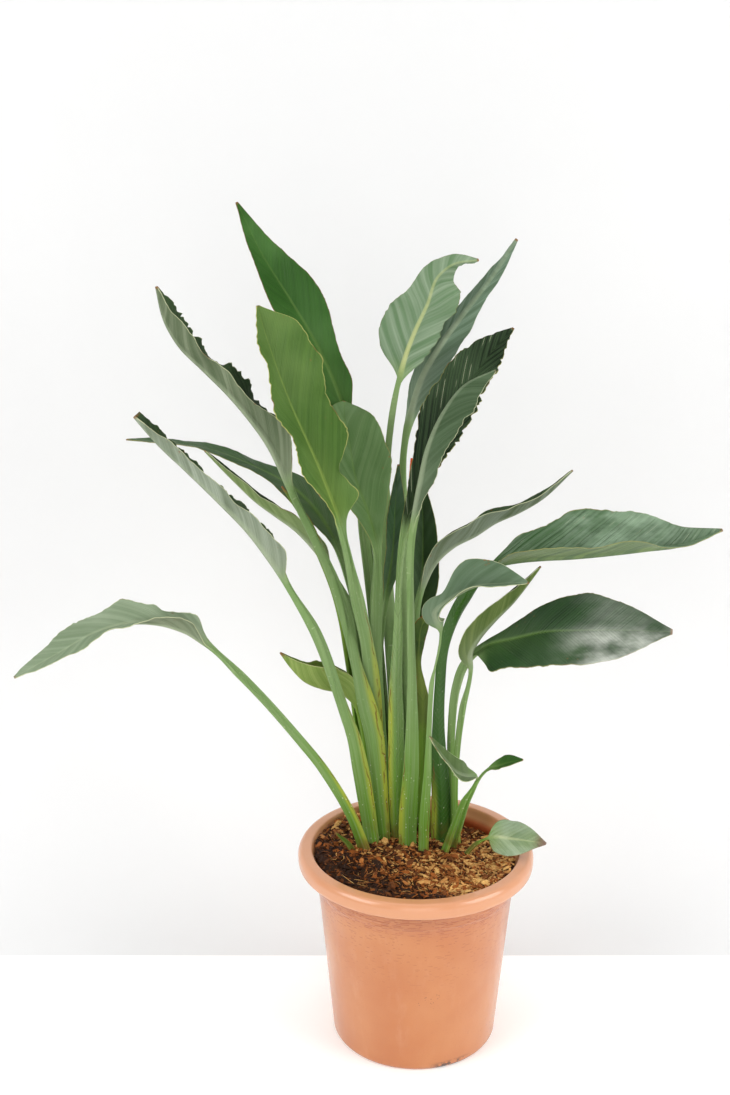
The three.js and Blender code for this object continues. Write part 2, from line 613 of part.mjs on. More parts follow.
// One closed skin round the stalk and the blade
function leafGeometry(leaf) {
  const { neck, end, place } = sampler(leaf);
  const stops = stations(leaf, neck, end);
  const count = ACROSS.length;
  const ring = 2 * count;
  const positions = [];
  for (const s of stops) {
    const here = place(s);
    const pairs = ACROSS.map((c) => sectionPoint(here, leaf, c));
    for (let j = 0; j < count; j++) positions.push(...pairs[j][0].toArray());
    for (let j = count - 1; j >= 0; j--) positions.push(...pairs[j][1].toArray());
  }
  const index = [];
  for (let i = 0; i < stops.length - 1; i++) {
    for (let j = 0; j < ring; j++) {
      const a = i * ring + j;
      const b = i * ring + (j + 1) % ring;
      const c = a + ring;
      const d = b + ring;
      // The same diagonal on both faces, so that the upper and the lower skin stay apart
      if (j < count) index.push(a, b, d, a, d, c);
      else index.push(a, b, c, b, d, c);
    }
  }
  const top = (stops.length - 1) * ring;
  for (let j = 0; j < count - 1; j++) {
    const low = ring - 1 - j;
    index.push(j, low, j + 1, j + 1, low, low - 1);
    index.push(top + j, top + j + 1, top + low, top + j + 1, top + low - 1, top + low);
  }
  const geometry = new THREE.BufferGeometry();
  geometry.setAttribute('position', new THREE.Float32BufferAttribute(positions, 3));
  geometry.setIndex(index);
  return geometry;
}

function toManifold(geometry) {
  geometry.deleteAttribute('normal');
  geometry.deleteAttribute('uv');
  const merged = mergeVertices(geometry, 1e-4);
  return new Manifold(new Mesh({
    numProp: 3,
    vertProperties: new Float32Array(merged.attributes.position.array),
    triVerts: new Uint32Array(merged.index.array),
  }));
}

function fromManifold(solid) {
  const mesh = solid.getMesh();
  const positions = [];
  for (let i = 0; i < mesh.vertProperties.length; i += mesh.numProp) {
    positions.push(mesh.vertProperties[i], mesh.vertProperties[i + 1], mesh.vertProperties[i + 2]);
  }
  const geometry = new THREE.BufferGeometry();
  geometry.setAttribute('position', new THREE.Float32BufferAttribute(positions, 3));
  geometry.setIndex(Array.from(mesh.triVerts));
  return geometry;
}

function wallRadius(z) {
  const top = POT_HEIGHT - RIM_DEPTH;
  return BASE_RADIUS + (WALL_TOP_RADIUS - BASE_RADIUS) * z / top;
}

// Turned pot with a rolled rim, open underneath the roll
function potSolid() {
  const under = POT_HEIGHT - RIM_DEPTH;
  const shoulder = POT_HEIGHT - RIM_DEPTH + 2;
  const profile = [
    [0, 0],
    [BASE_RADIUS - BASE_EDGE, 0],
    [BASE_RADIUS - BASE_EDGE * 0.3, BASE_EDGE * 0.3],
    [wallRadius(BASE_EDGE), BASE_EDGE],
    [wallRadius(STEP_HEIGHT), STEP_HEIGHT],
    [wallRadius(STEP_HEIGHT) + STEP_DEPTH, STEP_HEIGHT + 1],
    [wallRadius(under) + STEP_DEPTH, shoulder + SKIRT_CAVITY],
    [RIM_RADIUS - SKIRT_THICKNESS, shoulder + SKIRT_CAVITY - 2],
    [RIM_RADIUS - SKIRT_THICKNESS + 0.5, under],
    [RIM_RADIUS - 1.5, under + 0.5],
    [RIM_RADIUS, under + 3],
    [RIM_RADIUS, POT_HEIGHT - RIM_EDGE],
    [RIM_RADIUS - RIM_EDGE * 0.3, POT_HEIGHT - RIM_EDGE * 0.3],
    [RIM_RADIUS - RIM_EDGE, POT_HEIGHT],
    [RIM_INNER_RADIUS + 3, POT_HEIGHT],
    [RIM_INNER_RADIUS, POT_HEIGHT - 3],
    [RIM_INNER_RADIUS - 2, POT_HEIGHT - 9],
    [wallRadius(under) - WALL, under],
    [wallRadius(FLOOR) - WALL, FLOOR],
    [0, FLOOR],
  ];
  const lathe = new THREE.LatheGeometry(
    profile.map(([r, z]) => new THREE.Vector2(r, z)), POT_SEGMENTS);
  lathe.rotateX(Math.PI / 2);
  let solid = toManifold(lathe);
  for (let k = 0; k < DRAIN_COUNT; k++) {
    const angle = 2 * Math.PI * k / DRAIN_COUNT;
    const drill = new THREE.CylinderGeometry(DRAIN_RADIUS, DRAIN_RADIUS, FLOOR * 3, 14);
    drill.rotateX(Math.PI / 2);
    drill.translate(DRAIN_CIRCLE * Math.cos(angle), DRAIN_CIRCLE * Math.sin(angle), 0);
    solid = solid.subtract(toManifold(drill));
  }
  return solid;
}

// Soil rises to the front, round the stalks and against the rim, and sinks at the back right
function soilHeight(x, y) {
  const reach = wallRadius(SOIL_LEVEL);
  const front = -y / reach;
  const backRight = Math.max(0, (y + 0.7 * x) / reach - 0.35);
  const mound = Math.exp(-((x + 5) ** 2 / 6000 + (y - 50) ** 2 / 3500));
  const heap = THREE.MathUtils.smoothstep(Math.hypot(x, y) / reach, 0.72, 0.96);
  return SOIL_LEVEL + SOIL_FRONT_RISE * front - SOIL_BACK_DROP * backRight + SOIL_MOUND * mound
    + SOIL_HEAP * heap;
}

// Root ball with a rough top; radii follow the inside of the pot
function soilSolid() {
  const random = seeded(7);
  const positions = [];
  const index = [];
  const under = POT_HEIGHT - RIM_DEPTH;
  const flat = Math.cos(Math.PI / POT_SEGMENTS);
  const throat = wallRadius(under) - WALL;
  const flare = (RIM_INNER_RADIUS - 2 - throat) / (POT_HEIGHT - 9 - under);
  const side = (z) => (wallRadius(z) - WALL) * flat - GAP;
  const lip = (z) => (throat + flare * (z - under)) * flat - GAP;
  positions.push(0, 0, soilHeight(0, 0));
  for (let r = 1; r <= SOIL_RINGS; r++) {
    for (let k = 0; k < SOIL_SEGMENTS; k++) {
      const turn = 2 * Math.PI * (k + 0.5 * (r % 2)) / SOIL_SEGMENTS;
      const edge = r === SOIL_RINGS;
      const radius = edge ? 1 : (r + (random() - 0.5) * 0.6) / SOIL_RINGS;
      const x = Math.cos(turn) * radius;
      const y = Math.sin(turn) * radius;
      const rough = SOIL_ROUGHNESS * (random() - 0.5) * 2;
      const height = Math.min(soilHeight(x * 120, y * 120) + rough, POT_HEIGHT - 8);
      const reach = height > under + 5 ? lip(height) : side(Math.min(height, under));
      positions.push(x * reach, y * reach, height);
    }
  }
  const ringStart = (r) => 1 + (r - 1) * SOIL_SEGMENTS;
  for (let k = 0; k < SOIL_SEGMENTS; k++) {
    const next = (k + 1) % SOIL_SEGMENTS;
    index.push(0, ringStart(1) + k, ringStart(1) + next);
    for (let r = 1; r < SOIL_RINGS; r++) {
      const a = ringStart(r) + k;
      const b = ringStart(r) + next;
      const c = ringStart(r + 1) + k;
      const d = ringStart(r + 1) + next;
      if (r % 2) index.push(a, c, b, b, c, d);
      else index.push(a, c, d, a, d, b);
    }
  }
  // The side goes down from the edge to the pot's throat and then to the floor
  const edgeStart = ringStart(SOIL_RINGS);
  const neckStart = positions.length / 3;
  for (let k = 0; k < SOIL_SEGMENTS; k++) {
    const turn = 2 * Math.PI * (k + 0.5 * (SOIL_RINGS % 2)) / SOIL_SEGMENTS;
    const z = Math.min(under, positions[(edgeStart + k) * 3 + 2] - 4);
    positions.push(side(z) * Math.cos(turn), side(z) * Math.sin(turn), z);
  }
  const bottomZ = FLOOR + GAP;
  const bottom = positions.length / 3;
  for (let k = 0; k < SOIL_SEGMENTS; k++) {
    const turn = 2 * Math.PI * (k + 0.5 * (SOIL_RINGS % 2)) / SOIL_SEGMENTS;
    const radius = side(bottomZ);
    positions.push(radius * Math.cos(turn), radius * Math.sin(turn), bottomZ);
  }
  const centre = positions.length / 3;
  positions.push(0, 0, bottomZ);
  for (let k = 0; k < SOIL_SEGMENTS; k++) {
    const next = (k + 1) % SOIL_SEGMENTS;
    index.push(edgeStart + k, neckStart + k, edgeStart + next);
    index.push(edgeStart + next, neckStart + k, neckStart + next);
    index.push(neckStart + k, bottom + k, neckStart + next);
    index.push(neckStart + next, bottom + k, bottom + next);
    index.push(centre, bottom + next, bottom + k);
  }
  const geometry = new THREE.BufferGeometry();
  geometry.setAttribute('position', new THREE.Float32BufferAttribute(positions, 3));
  geometry.setIndex(index);
  let solid = toManifold(geometry);
  for (const leaf of Object.values(LEAVES)) solid = solid.subtract(rootHole(leaf));
  return solid;
}

// Plain slanting hole for the foot of one stalk, a hair wider than the stalk
function rootHole(leaf) {
  const { neck, end, place } = sampler(leaf);
  const corners = [];
  const stops = stations(leaf, neck, end);
  const last = stops.findIndex((s) => place(s).centre.z > HOLE_TOP);
  for (const s of stops.slice(0, last + 1)) {
    const here = place(s);
    for (const point of ACROSS.flatMap((c) => sectionPoint(here, leaf, c))) {
      const away = point.clone().sub(here.centre);
      away.addScaledVector(here.along, -away.dot(here.along));
      const grown = point.clone().addScaledVector(away.normalize(), GAP * 1.7);
      corners.push(s > 0 ? grown : grown.addScaledVector(here.along, -GAP));
    }
  }
  return toManifold(new ConvexGeometry(corners));
}

function part(name, geometry, colour, roughness) {
  const material = new THREE.MeshStandardMaterial({ color: colour, roughness, metalness: 0 });
  const mesh = new THREE.Mesh(geometry, material);
  mesh.name = name;
  return mesh;
}

const group = new THREE.Group();
group.name = 'potted_bird_of_paradise';
group.add(part('pot', fromManifold(potSolid()), POT_COLOUR, 0.45));
group.add(part('soil', fromManifold(soilSolid()), SOIL_COLOUR, 0.95));
for (const [name, leaf] of Object.entries(LEAVES)) {
  const bract = name.startsWith('bract');
  const colour = bract ? BRACT_GREEN : name.startsWith('sprout') ? STALK_GREEN : LEAF_GREEN;
  group.add(part(name, leafGeometry(leaf), colour, 0.5));
}

export default group;
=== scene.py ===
import math

import bmesh
import bpy
import numpy as np
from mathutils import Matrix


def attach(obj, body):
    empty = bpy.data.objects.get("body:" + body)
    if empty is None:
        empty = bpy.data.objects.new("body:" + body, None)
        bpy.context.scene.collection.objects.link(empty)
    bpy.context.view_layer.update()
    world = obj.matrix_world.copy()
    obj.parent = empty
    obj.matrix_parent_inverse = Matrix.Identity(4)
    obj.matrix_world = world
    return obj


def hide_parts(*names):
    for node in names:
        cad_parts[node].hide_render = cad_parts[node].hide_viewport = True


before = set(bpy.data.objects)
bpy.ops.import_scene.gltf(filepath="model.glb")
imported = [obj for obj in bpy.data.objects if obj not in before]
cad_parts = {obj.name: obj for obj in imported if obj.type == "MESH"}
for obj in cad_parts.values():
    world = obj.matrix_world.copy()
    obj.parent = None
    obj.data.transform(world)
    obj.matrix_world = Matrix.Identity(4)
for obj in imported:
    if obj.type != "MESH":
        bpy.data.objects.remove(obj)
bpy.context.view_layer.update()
scene = bpy.context.scene
scene.view_settings.view_transform = "Standard"
MM = 0.001

# Camera fitted to the pot, the floor line and the heights in the photograph
CAMERA_PLACE = (-0.066, -1.588, 1.100)
CAMERA_PITCH = 15.3
CAMERA_LENS = 44.05
SENSOR_WIDTH = 36
camera = bpy.data.objects.new("camera", bpy.data.cameras.new("camera"))
scene.collection.objects.link(camera)
camera.location = CAMERA_PLACE
camera.rotation_euler = (math.radians(90 - CAMERA_PITCH), 0, 0)
camera.data.lens = CAMERA_LENS
camera.data.sensor_width = SENSOR_WIDTH
scene.camera = camera

# Pot, the same named sizes as the solid, in millimetres
POT_HEIGHT = 262
RIM_RADIUS = 153.5
RIM_INNER_RADIUS = 134.5
RIM_DEPTH = 20
SKIRT_THICKNESS = 4
SKIRT_CAVITY = 9
WALL_TOP_RADIUS = 131
BASE_RADIUS = 108
BASE_EDGE = 4
WALL = 3.5
FLOOR = 5
STEP_HEIGHT = 214
STEP_DEPTH = 0.8
DRAIN_COUNT = 5
DRAIN_RADIUS = 7
DRAIN_CIRCLE = 72

# Soil, as in the solid
GAP = 0.3
SOIL_LEVEL = 244
SOIL_FRONT_RISE = 5
SOIL_BACK_DROP = 13
SOIL_MOUND = 4
SOIL_HEAP = 6

# Leaf skin, as in the solid
BLADE_THICKNESS = 1.1
MARGIN_THICKNESS = 0.8
TIP_HALF_WIDTH = 1.2
RIB_HALF_WIDTH = 5

LEAVES = {}


def add_leaf(name, depth, neck, wave, waves, bend, *rows):
    """A leaf as one skin: stalk, then blade.

    Depth is the stalk's thickness, neck the row where the blade starts, then the height and number
    of its waves and how far its sides bend. A row: x, y, z of the midrib; turn of the upper face, 0
    to the viewer and 90 to +X, and its rise; half width left and right of the midrib; lift of the
    left and right half towards the upper face. A row of seven is the same on both sides.
    """
    full = [row if len(row) == 9 else (*row[:6], row[5], row[6], row[6]) for row in rows]
    LEAVES[name] = {"depth": depth, "neck": neck, "wave": wave, "waves": waves, "bend": bend,
                    "rows": full}


add_leaf("leaf_tallest", 11, 4, 2.5, 3, 10,
     (-23, 98, 225, -20, 5, 7.5, 25), (-37, 102, 360, -20, 5, 7.5, 25), (-50, 103, 513, -15, 10, 7, 25),
     (-66, 105, 650, 0, 12, 6.5, 25), (-86, 110, 794, 10, 15, 7, 25),
     (-100, 116, 836, 12, 18, 20, 12, 20, 20), (-128, 130, 898, 12, 22, 22, 27, 16, 16),
     (-162, 150, 953, 12, 26, 29, 40, 14, 14), (-199, 180, 1008, 10, 28, 17, 22, 20, 20),
     (-233, 212, 1073, 10, 28, 1.2, 20))
add_leaf("leaf_hooked", 12, 7, 5, 3, 8,
     (-42, 64, 225, 0, 5, 8, -18), (-51, 64, 334, 0, 5, 8.5, 9, -18, -18),
     (-55, 62, 410, 0, 5, 9, 12, -18, -18), (-58, 60, 453, 0, 5, 9, 13, -18, -18),
     (-60, 56, 484, 0, 5, 9, 12, -14, -14), (-64, 48, 522, 4, 5, 8, 9.5, -5, -5),
     (-75, 32, 583, 12, 5, 8, 20), (-97, 4, 694, 25, 8, 7, 30), (-109, 0, 728, 30, 10, 14, 24, 28, 20),
     (-125, 4, 769, 34, 10, 45, 34, 28, 20), (-139, 10, 800, 36, 12, 45, 46, 28, 18),
     (-157, 18, 840, 36, 14, 38, 50, 28, 16), (-170, 24, 874, 34, 14, 33, 54, 30, 18),
     (-182, 32, 908, 32, 12, 26, 48, 34, 22), (-191, 37, 937, 30, 8, 14, 30, 34, 26),
     (-195, 38, 956, 25, 0, 1.2, 30))
add_leaf("leaf_short_broad", 11, 5, 1.5, 2, 8,
     (-28, 75, 225, 0, 5, 7.5, -10), (-38, 76, 300, 0, 5, 7.5, -10), (-48, 75, 430, 0, 5, 7.5, -10),
     (-52, 69, 516, 5, 5, 7.5, -5), (-52, 62, 577, 10, 5, 7.6, 15), (-52, 50, 656, 15, 8, 7, 30),
     (-64, 50, 700, 20, 10, 24, 26, 30, 14), (-78, 53, 739, 20, 14, 34, 46, 24, 12),
     (-86, 62, 783, 20, 24, 34, 45, 20, 12), (-92, 77, 812, 20, 44, 24, 34, 20, 14),
     (-93, 106, 829, 20, 60, 1.2, 1.2, 20, 14))
add_leaf("leaf_upper_left", 12, 7, 3.5, 4, -14,
     (-39, 49, 225, 0, 5, 8, 8.5, -18, -18), (-44, 49, 277, 0, 5, 8.7, 10, -18, -18),
     (-50, 48, 340, 0, 5, 9.5, 12.5, -18, -18), (-58, 47, 403, 5, 5, 9.5, 15, -18, -18),
     (-67, 46, 440, 10, 5, 9, 15, -18, -18), (-78, 46, 495, 20, 8, 7.5, -10),
     (-99, 45, 583, 70, 14, 6.8, 25), (-162, 26, 739, 95, 28, 6.5, 40),
     (-186, 20, 792, 98, 36, 34, 26, 66, 52), (-207, 14, 824, 98, 38, 21, 32, 68, 50),
     (-233, 7, 857, 98, 38, 18, 29, 68, 50), (-259, 0, 885, 98, 38, 18, 25, 68, 54),
     (-285, -4, 913, 98, 36, 21, 25, 68, 58), (-300, -8, 942, 96, 30, 18, 22, 66, 64),
     (-308, -12, 982, 92, 15, 1.2, 50))
add_leaf("leaf_middle_left", 11, 6, 3, 4, -10,
     (-53, 37, 225, 0, 5, 8.5, -18), (-65, 35, 305, 5, 5, 9.5, 11, -18, -18),
     (-74, 32, 358, 12, 5, 9, 12, -18, -18), (-82, 29, 400, 22, 7, 8, 10, -18, -18),
     (-94, 24, 440, 42, 12, 7, -5), (-130, 0, 554, 75, 28, 6.5, 35), (-168, -15, 631, 90, 38, 5.5, 40),
     (-184, -22, 658, 95, 43, 24, 20, 66, 46), (-206, -28, 691, 96, 42, 19, 20, 72, 50),
     (-241, -38, 733, 96, 40, 15, 15, 74, 54), (-274, -50, 771, 96, 38, 13, 14, 74, 60),
     (-305, -62, 806, 96, 36, 11, 14, 72, 64), (-330, -73, 840, 94, 34, 1.2, 9, 60, 70))
add_leaf("leaf_back_left", 9, 4, 1.5, 3, 0,
     (-32, 114, 225, -20, 5, 6.5, 25), (-42, 117, 363, -25, 8, 6.5, 25),
     (-67, 114, 496, -30, 15, 6.5, 30), (-84, 108, 587, -20, 30, 6, 30), (-102, 107, 636, 0, 40, 6, 35),
     (-126, 114, 678, 10, 58, 18, 20, 0, 30), (-161, 126, 712, 10, 72, 20, 20, -10, 20),
     (-203, 139, 733, 5, 84, 15, 18, -8, 10), (-286, 168, 758, 0, 87, 14, 16, 4, 4),
     (-341, 186, 761, 0, 84, 12, 12, 10, 6), (-389, 200, 762, 0, 82, 1.2, 15))
add_leaf("leaf_narrow_left", 8, 4, 1, 3, 0,
     (-46, 97, 225, 20, 5, 5.5, 25), (-62, 93, 370, 30, 5, 5.5, 25), (-76, 88, 502, 50, 15, 5.5, 30),
     (-92, 84, 572, 80, 24, 5, 35), (-111, 83, 608, 88, 34, 5, 38),
     (-132, 84, 639, 92, 42, 20, 15, 62, 55), (-157, 85, 666, 92, 46, 18, 15, 60, 52),
     (-182, 88, 684, 92, 50, 16, 14, 55, 50), (-206, 92, 701, 92, 52, 13, 12, 52, 48),
     (-232, 97, 725, 90, 52, 10, 10, 50, 48), (-272, 102, 766, 88, 52, 1.2, 45))
add_leaf("leaf_low_left", 8, 5, 2.5, 4, 0,
     (-60, 20, 225, -10, 20, 8, -18), (-84, 11, 300, -20, 30, 7, -18), (-116, 0, 364, -15, 40, 6, -10),
     (-151, -20, 421, 0, 46, 5, 10), (-218, -56, 519, 10, 48, 4.5, 30), (-255, -70, 563, 14, 52, 4.5, 40),
     (-284, -78, 583, 10, 56, 24, 20, 90, 50), (-329, -90, 598, 0, 58, 15, 21, 56, 30),
     (-375, -108, 594, -6, 54, 17, 22, 26, 18), (-422, -130, 573, -12, 50, 15, 17, 16, 10),
     (-467, -150, 552, -16, 48, 1.2, 20))
add_leaf("bract_left", 7, 3, 0.6, 2, 0,
     (-56, 84, 225, 20, 5, 5, 25), (-63, 80, 330, 60, 15, 5, 30), (-72, 78, 400, 75, 30, 5, 35),
     (-80, 82, 425, 85, 45, 6, 45), (-98, 79, 443, 92, 64, 36, 29, 60, 50),
     (-123, 73, 452, 94, 70, 44, 35, 64, 58), (-146, 60, 468, 94, 68, 36, 28, 62, 55),
     (-162, 54, 488, 92, 62, 20, 15, 60, 55), (-176, 48, 511, 90, 56, 1.2, 50))
add_leaf("leaf_top", 11, 4, 2.5, 3, 0,
     (-8, 77, 225, 180, 5, 7.5, 25), (-22, 80, 378, 180, 5, 7.5, 25), (-31, 87, 502, 178, 5, 7.5, 25),
     (-40, 96, 677, 176, 6, 7, 25), (-21, 100, 866, 172, 8, 9, 8, 25, 25),
     (-15, 99, 888, 172, 9, 26, 37, 22, 22), (-4, 97, 918, 172, 11, 35, 50, 20, 22),
     (11, 92, 952, 172, 14, 35, 34, 18, 18), (24, 82, 988, 172, 18, 27, 19, 18, 16),
     (42, 72, 1003, 172, 20, 9, 12, 18, 16), (71, 62, 1008, 172, 22, 1.2, 20))
add_leaf("leaf_upper_right", 11, 4, 2, 3, 0,
     (3, 90, 225, 180, 5, 7, 25), (-9, 93, 372, 180, 5, 7, 25), (-12, 102, 511, 176, 5, 7, 25),
     (-18, 114, 673, 170, 5, 6.5, 25), (-10, 121, 800, 160, 8, 6, 30),
     (4, 123, 852, 155, 12, 22, 20, 40, 40), (30, 122, 899, 152, 16, 28, 26, 42, 42),
     (60, 120, 941, 150, 18, 20, 45), (90, 115, 981, 150, 18, 13, 12, 48, 48),
     (121, 105, 1031, 150, 14, 1.2, 45))
add_leaf("leaf_ribbed", 10, 6, 2.5, 3, 6,
     (-21, 52, 225, 0, 5, 7.5, 8.5, -18, -18), (-24, 51, 277, 0, 5, 8.2, 9, -18, -18),
     (-25, 48, 341, 0, 5, 9.5, -18), (-25, 46, 404, 0, 5, 10, -18), (-26, 43, 466, 0, 5, 8.8, -18),
     (-24, 39, 527, -5, 5, 6.7, -10), (-15, 42, 680, -14, 12, 5.5, 30),
     (10, 58, 757, -16, 24, 18, 22, 26, 24), (34, 72, 803, -16, 28, 36, 33, 20, 18),
     (60, 90, 845, -16, 30, 36, 31, 18, 16), (90, 114, 885, -16, 30, 27, 20, 18, 18),
     (124, 142, 918, -16, 30, 1.2, 20))
add_leaf("leaf_twisted", 10, 6, 2.5, 4, 0,
     (-9, 33, 225, 0, 5, 11, -18), (-9, 33, 286, 0, 5, 11.5, -18), (-6, 32, 349, 0, 5, 10, -18),
     (-5, 30, 411, 0, 5, 7.9, 8.2, -18, -18), (-6, 27, 472, 10, 5, 6.4, -18),
     (-9, 22, 550, 35, 5, 5.4, -10), (-7, 14, 697, 70, 0, 5.4, 35), (0, 10, 745, 88, -10, 16, 14, 55, 45),
     (10, 5, 792, 92, -20, 22, 22, 62, 50), (28, 0, 834, 92, -30, 26, 28, 66, 50),
     (52, -5, 866, 88, -50, 26, 26, 60, 50), (88, -10, 885, 84, -72, 1.2, 50))
add_leaf("leaf_back_right", 8, 3, 1, 2, 0,
     (8, 114, 225, 0, 5, 5.5, 25), (3, 118, 370, 0, 5, 5.5, 25), (3, 126, 455, 0, 5, 5.5, 30),
     (5, 136, 520, 0, 8, 6, 30), (10, 145, 566, 0, 10, 16, 24, 35, 35),
     (12, 154, 636, 0, 12, 20, 23, 35, 35), (10, 160, 693, 0, 14, 13, 11, 35, 35),
     (6, 166, 728, 0, 16, 1.2, 35))
add_leaf("leaf_narrow_right", 8, 3, 1, 4, 0,
     (20, 78, 225, -20, 5, 6, 25), (10, 78, 376, -30, 5, 6, 25), (0, 76, 500, -50, 10, 5.5, 30),
     (9, 68, 590, -70, 28, 5.5, 40), (32, 55, 638, -80, 42, 15, 20, 50, 60),
     (49, 50, 654, -84, 50, 18, 24, 45, 60), (72, 44, 668, -84, 54, 20, 25, 45, 60),
     (98, 36, 688, -84, 56, 18, 20, 40, 60), (124, 29, 702, -84, 56, 12, 14, 40, 55),
     (150, 21, 720, -84, 54, 9, 10, 40, 50), (187, 9, 760, -84, 44, 1.2, 1.2, 40, 45))
add_leaf("leaf_upper_flat_right", 12, 7, 2, 3, -8,
     (35, 47, 225, 0, 5, 11.5, 12, -18, -18), (35, 46, 310, 0, 5, 12, -18), (31, 44, 374, 0, 5, 9.8, -18),
     (30, 42, 406, 0, 5, 8, -18), (31, 38, 468, -5, 5, 7, -18), (36, 28, 531, -15, 15, 7, -5),
     (58, 6, 597, -18, 38, 7, 25), (98, -19, 650, -5, 60, 7, 45), (118, -27, 655, 0, 64, 26, 34, 50, 56),
     (150, -38, 661, 2, 66, 38, 40, 50, 56), (178, -47, 665, 2, 68, 53, 40, 50, 54),
     (214, -60, 672, 2, 68, 54, 40, 50, 54), (258, -76, 682, 0, 68, 46, 36, 50, 54),
     (300, -92, 693, -5, 62, 24, 28, 45, 44), (343, -105, 715, -10, 50, 1.2, 40))
add_leaf("leaf_drooping", 6, 5, 1, 3, 0,
     (11, 17, 225, 0, 5, 6.3, -18), (12, 15, 294, 0, 5, 6.5, -18), (15, 11, 358, 0, 5, 4.9, -18),
     (16, 6, 421, 0, 5, 3.3, -18), (18, 0, 483, -5, 5, 3.1, -10), (27, -16, 566, -12, 12, 3.1, 15),
     (20, -30, 590, -14, 18, 17, 14, 10, 14), (34, -46, 610, -36, 40, 13, 16, 30, 36),
     (66, -68, 636, -30, 60, 33, 20, 50, 40), (92, -84, 644, -20, 62, 24, 18, 45, 35),
     (124, -100, 650, -20, 60, 1.2, 30))
add_leaf("leaf_lower_right", 10, 5, 1.5, 3, 0,
     (52, 66, 225, 0, 5, 5, -10), (49, 58, 330, 0, 5, 4.8, -10), (48, 48, 403, -10, 5, 4.8, -10),
     (53, 34, 470, -30, 18, 4.8, 10), (62, 14, 508, -30, 30, 5, 24), (76, -3, 531, -18, 38, 5.5, 24),
     (87, -11, 542, -8, 40, 6, 33, 16, 14), (116, -28, 556, 0, 42, 17, 40, 12, 10),
     (152, -48, 572, 0, 42, 33, 48, 10, 8), (192, -66, 580, 4, 42, 47, 49, 10, 8),
     (238, -86, 587, 6, 42, 34, 41, 10, 10), (293, -106, 592, 8, 42, 3, 14))
add_leaf("leaf_folded_right", 7, 4, 1, 3, 0,
     (60, 44, 225, 0, 5, 4, -10), (53, 40, 313, 0, 5, 3.8, -10), (56, 28, 400, -20, 5, 3.8, -10),
     (60, 16, 445, -50, 10, 3.8, 10), (68, -4, 510, -80, 24, 3.6, 40),
     (67, -16, 534, -88, 34, 14, 16, 58, 66), (76, -24, 556, -90, 40, 15, 22, 60, 70),
     (92, -32, 580, -90, 42, 16, 22, 60, 70), (115, -40, 609, -90, 40, 12, 15, 60, 70),
     (129, -46, 631, -90, 36, 7, 9, 60, 65), (144, -52, 656, -90, 32, 1.2, 50))
add_leaf("leaf_small_left", 5, 3, 0.6, 2, 0,
     (35, 18, 225, -20, 10, 5, 25), (49, 5, 281, -30, 20, 4, 25), (61, -5, 325, -20, 30, 3, 30),
     (76, -16, 366, 0, 60, 2.5, 30), (63, -27, 371, 20, 60, 12, 14, 40, 30),
     (49, -38, 382, 30, 45, 17, 16, 40, 30), (32, -50, 408, 35, 40, 12, 9, 40, 30),
     (13, -60, 441, 35, 35, 1.2, 1.2, 40, 30))
add_leaf("leaf_small_right", 4, 3, 0.4, 2, 0,
     (48, 32, 225, -20, 10, 4, 25), (60, 18, 281, -30, 20, 3, 25), (72, 8, 330, -20, 30, 2.5, 30),
     (94, -6, 373, 0, 50, 2, 30), (104, -12, 379, 0, 55, 8, 6, 20, 20),
     (117, -22, 389, 0, 55, 9, 7, 20, 20), (133, -32, 397, 0, 55, 1.2, 20))
add_leaf("leaf_rim", 4, 3, 0.6, 2, 0,
     (60, 12, 228, 0, 30, 3, 25), (68, 9, 245, 0, 40, 2.6, 25), (82, 4, 263, 0, 46, 2.4, 25),
     (96, -2, 273, 0, 50, 2.4, 25), (104, -7, 277, 0, 52, 18, 16, 12, 12),
     (120, -17, 280, 0, 52, 22, 24, 8, 8), (140, -30, 284, 0, 52, 17, 20, 8, 8),
     (164, -46, 288, 0, 50, 1.5, 12))
add_leaf("sprout_left", 6, 1, 0, 1, 0,
     (-80, 26, 228, 0, 30, 4.5, 20), (-84, 14, 247, 0, 40, 4, 30), (-92, 3, 264, 0, 45, 4, 40),
     (-104, -8, 283, 0, 45, 1.2, 40))
add_leaf("bract_right", 8, 2, 0.5, 2, 0,
     (13, 58, 225, 0, 5, 6.5, -18), (11, 57, 337, 0, 5, 6.4, -18), (11, 56, 400, 0, 5, 7, 7.5, -18, -18),
     (10, 55, 447, 0, 5, 7, 7.5, -18, -18), (7, 54, 468, 0, 5, 5.5, -18),
     (4, 53, 490, 0, 5, 4, 3.5, -18, -18), (4, 52, 523, 5, 5, 7.9, 7.3, -10, -10),
     (7, 50, 548, 10, 5, 9.5, 0), (18, 48, 568, 15, 5, 1.4, 0))
add_leaf("leaf_middle_back", 7, 3, 0.6, 3, 0,
     (-37, 88, 225, 10, 5, 4.5, 25), (-46, 90, 374, 10, 5, 5, 25), (-48, 86, 501, 15, 5, 5, 30),
     (-40, 79, 575, 15, 5, 5, 35), (-31, 74, 640, 15, 8, 17, 15, 40, 40), (-28, 70, 702, 15, 8, 14, 40),
     (-24, 66, 756, 15, 8, 1.2, 40))
add_leaf("bract_red_tip", 6, 3, 0, 1, 0,
     (-12, 109, 225, 10, 5, 5.5, 25), (-10, 112, 368, 10, 5, 5, 25), (-10, 122, 494, 15, 5, 4.5, 30),
     (-9, 132, 617, 15, 5, 4.5, 35), (-6, 136, 684, 15, 8, 8, 40), (-5, 140, 749, 15, 8, 1.2, 40))
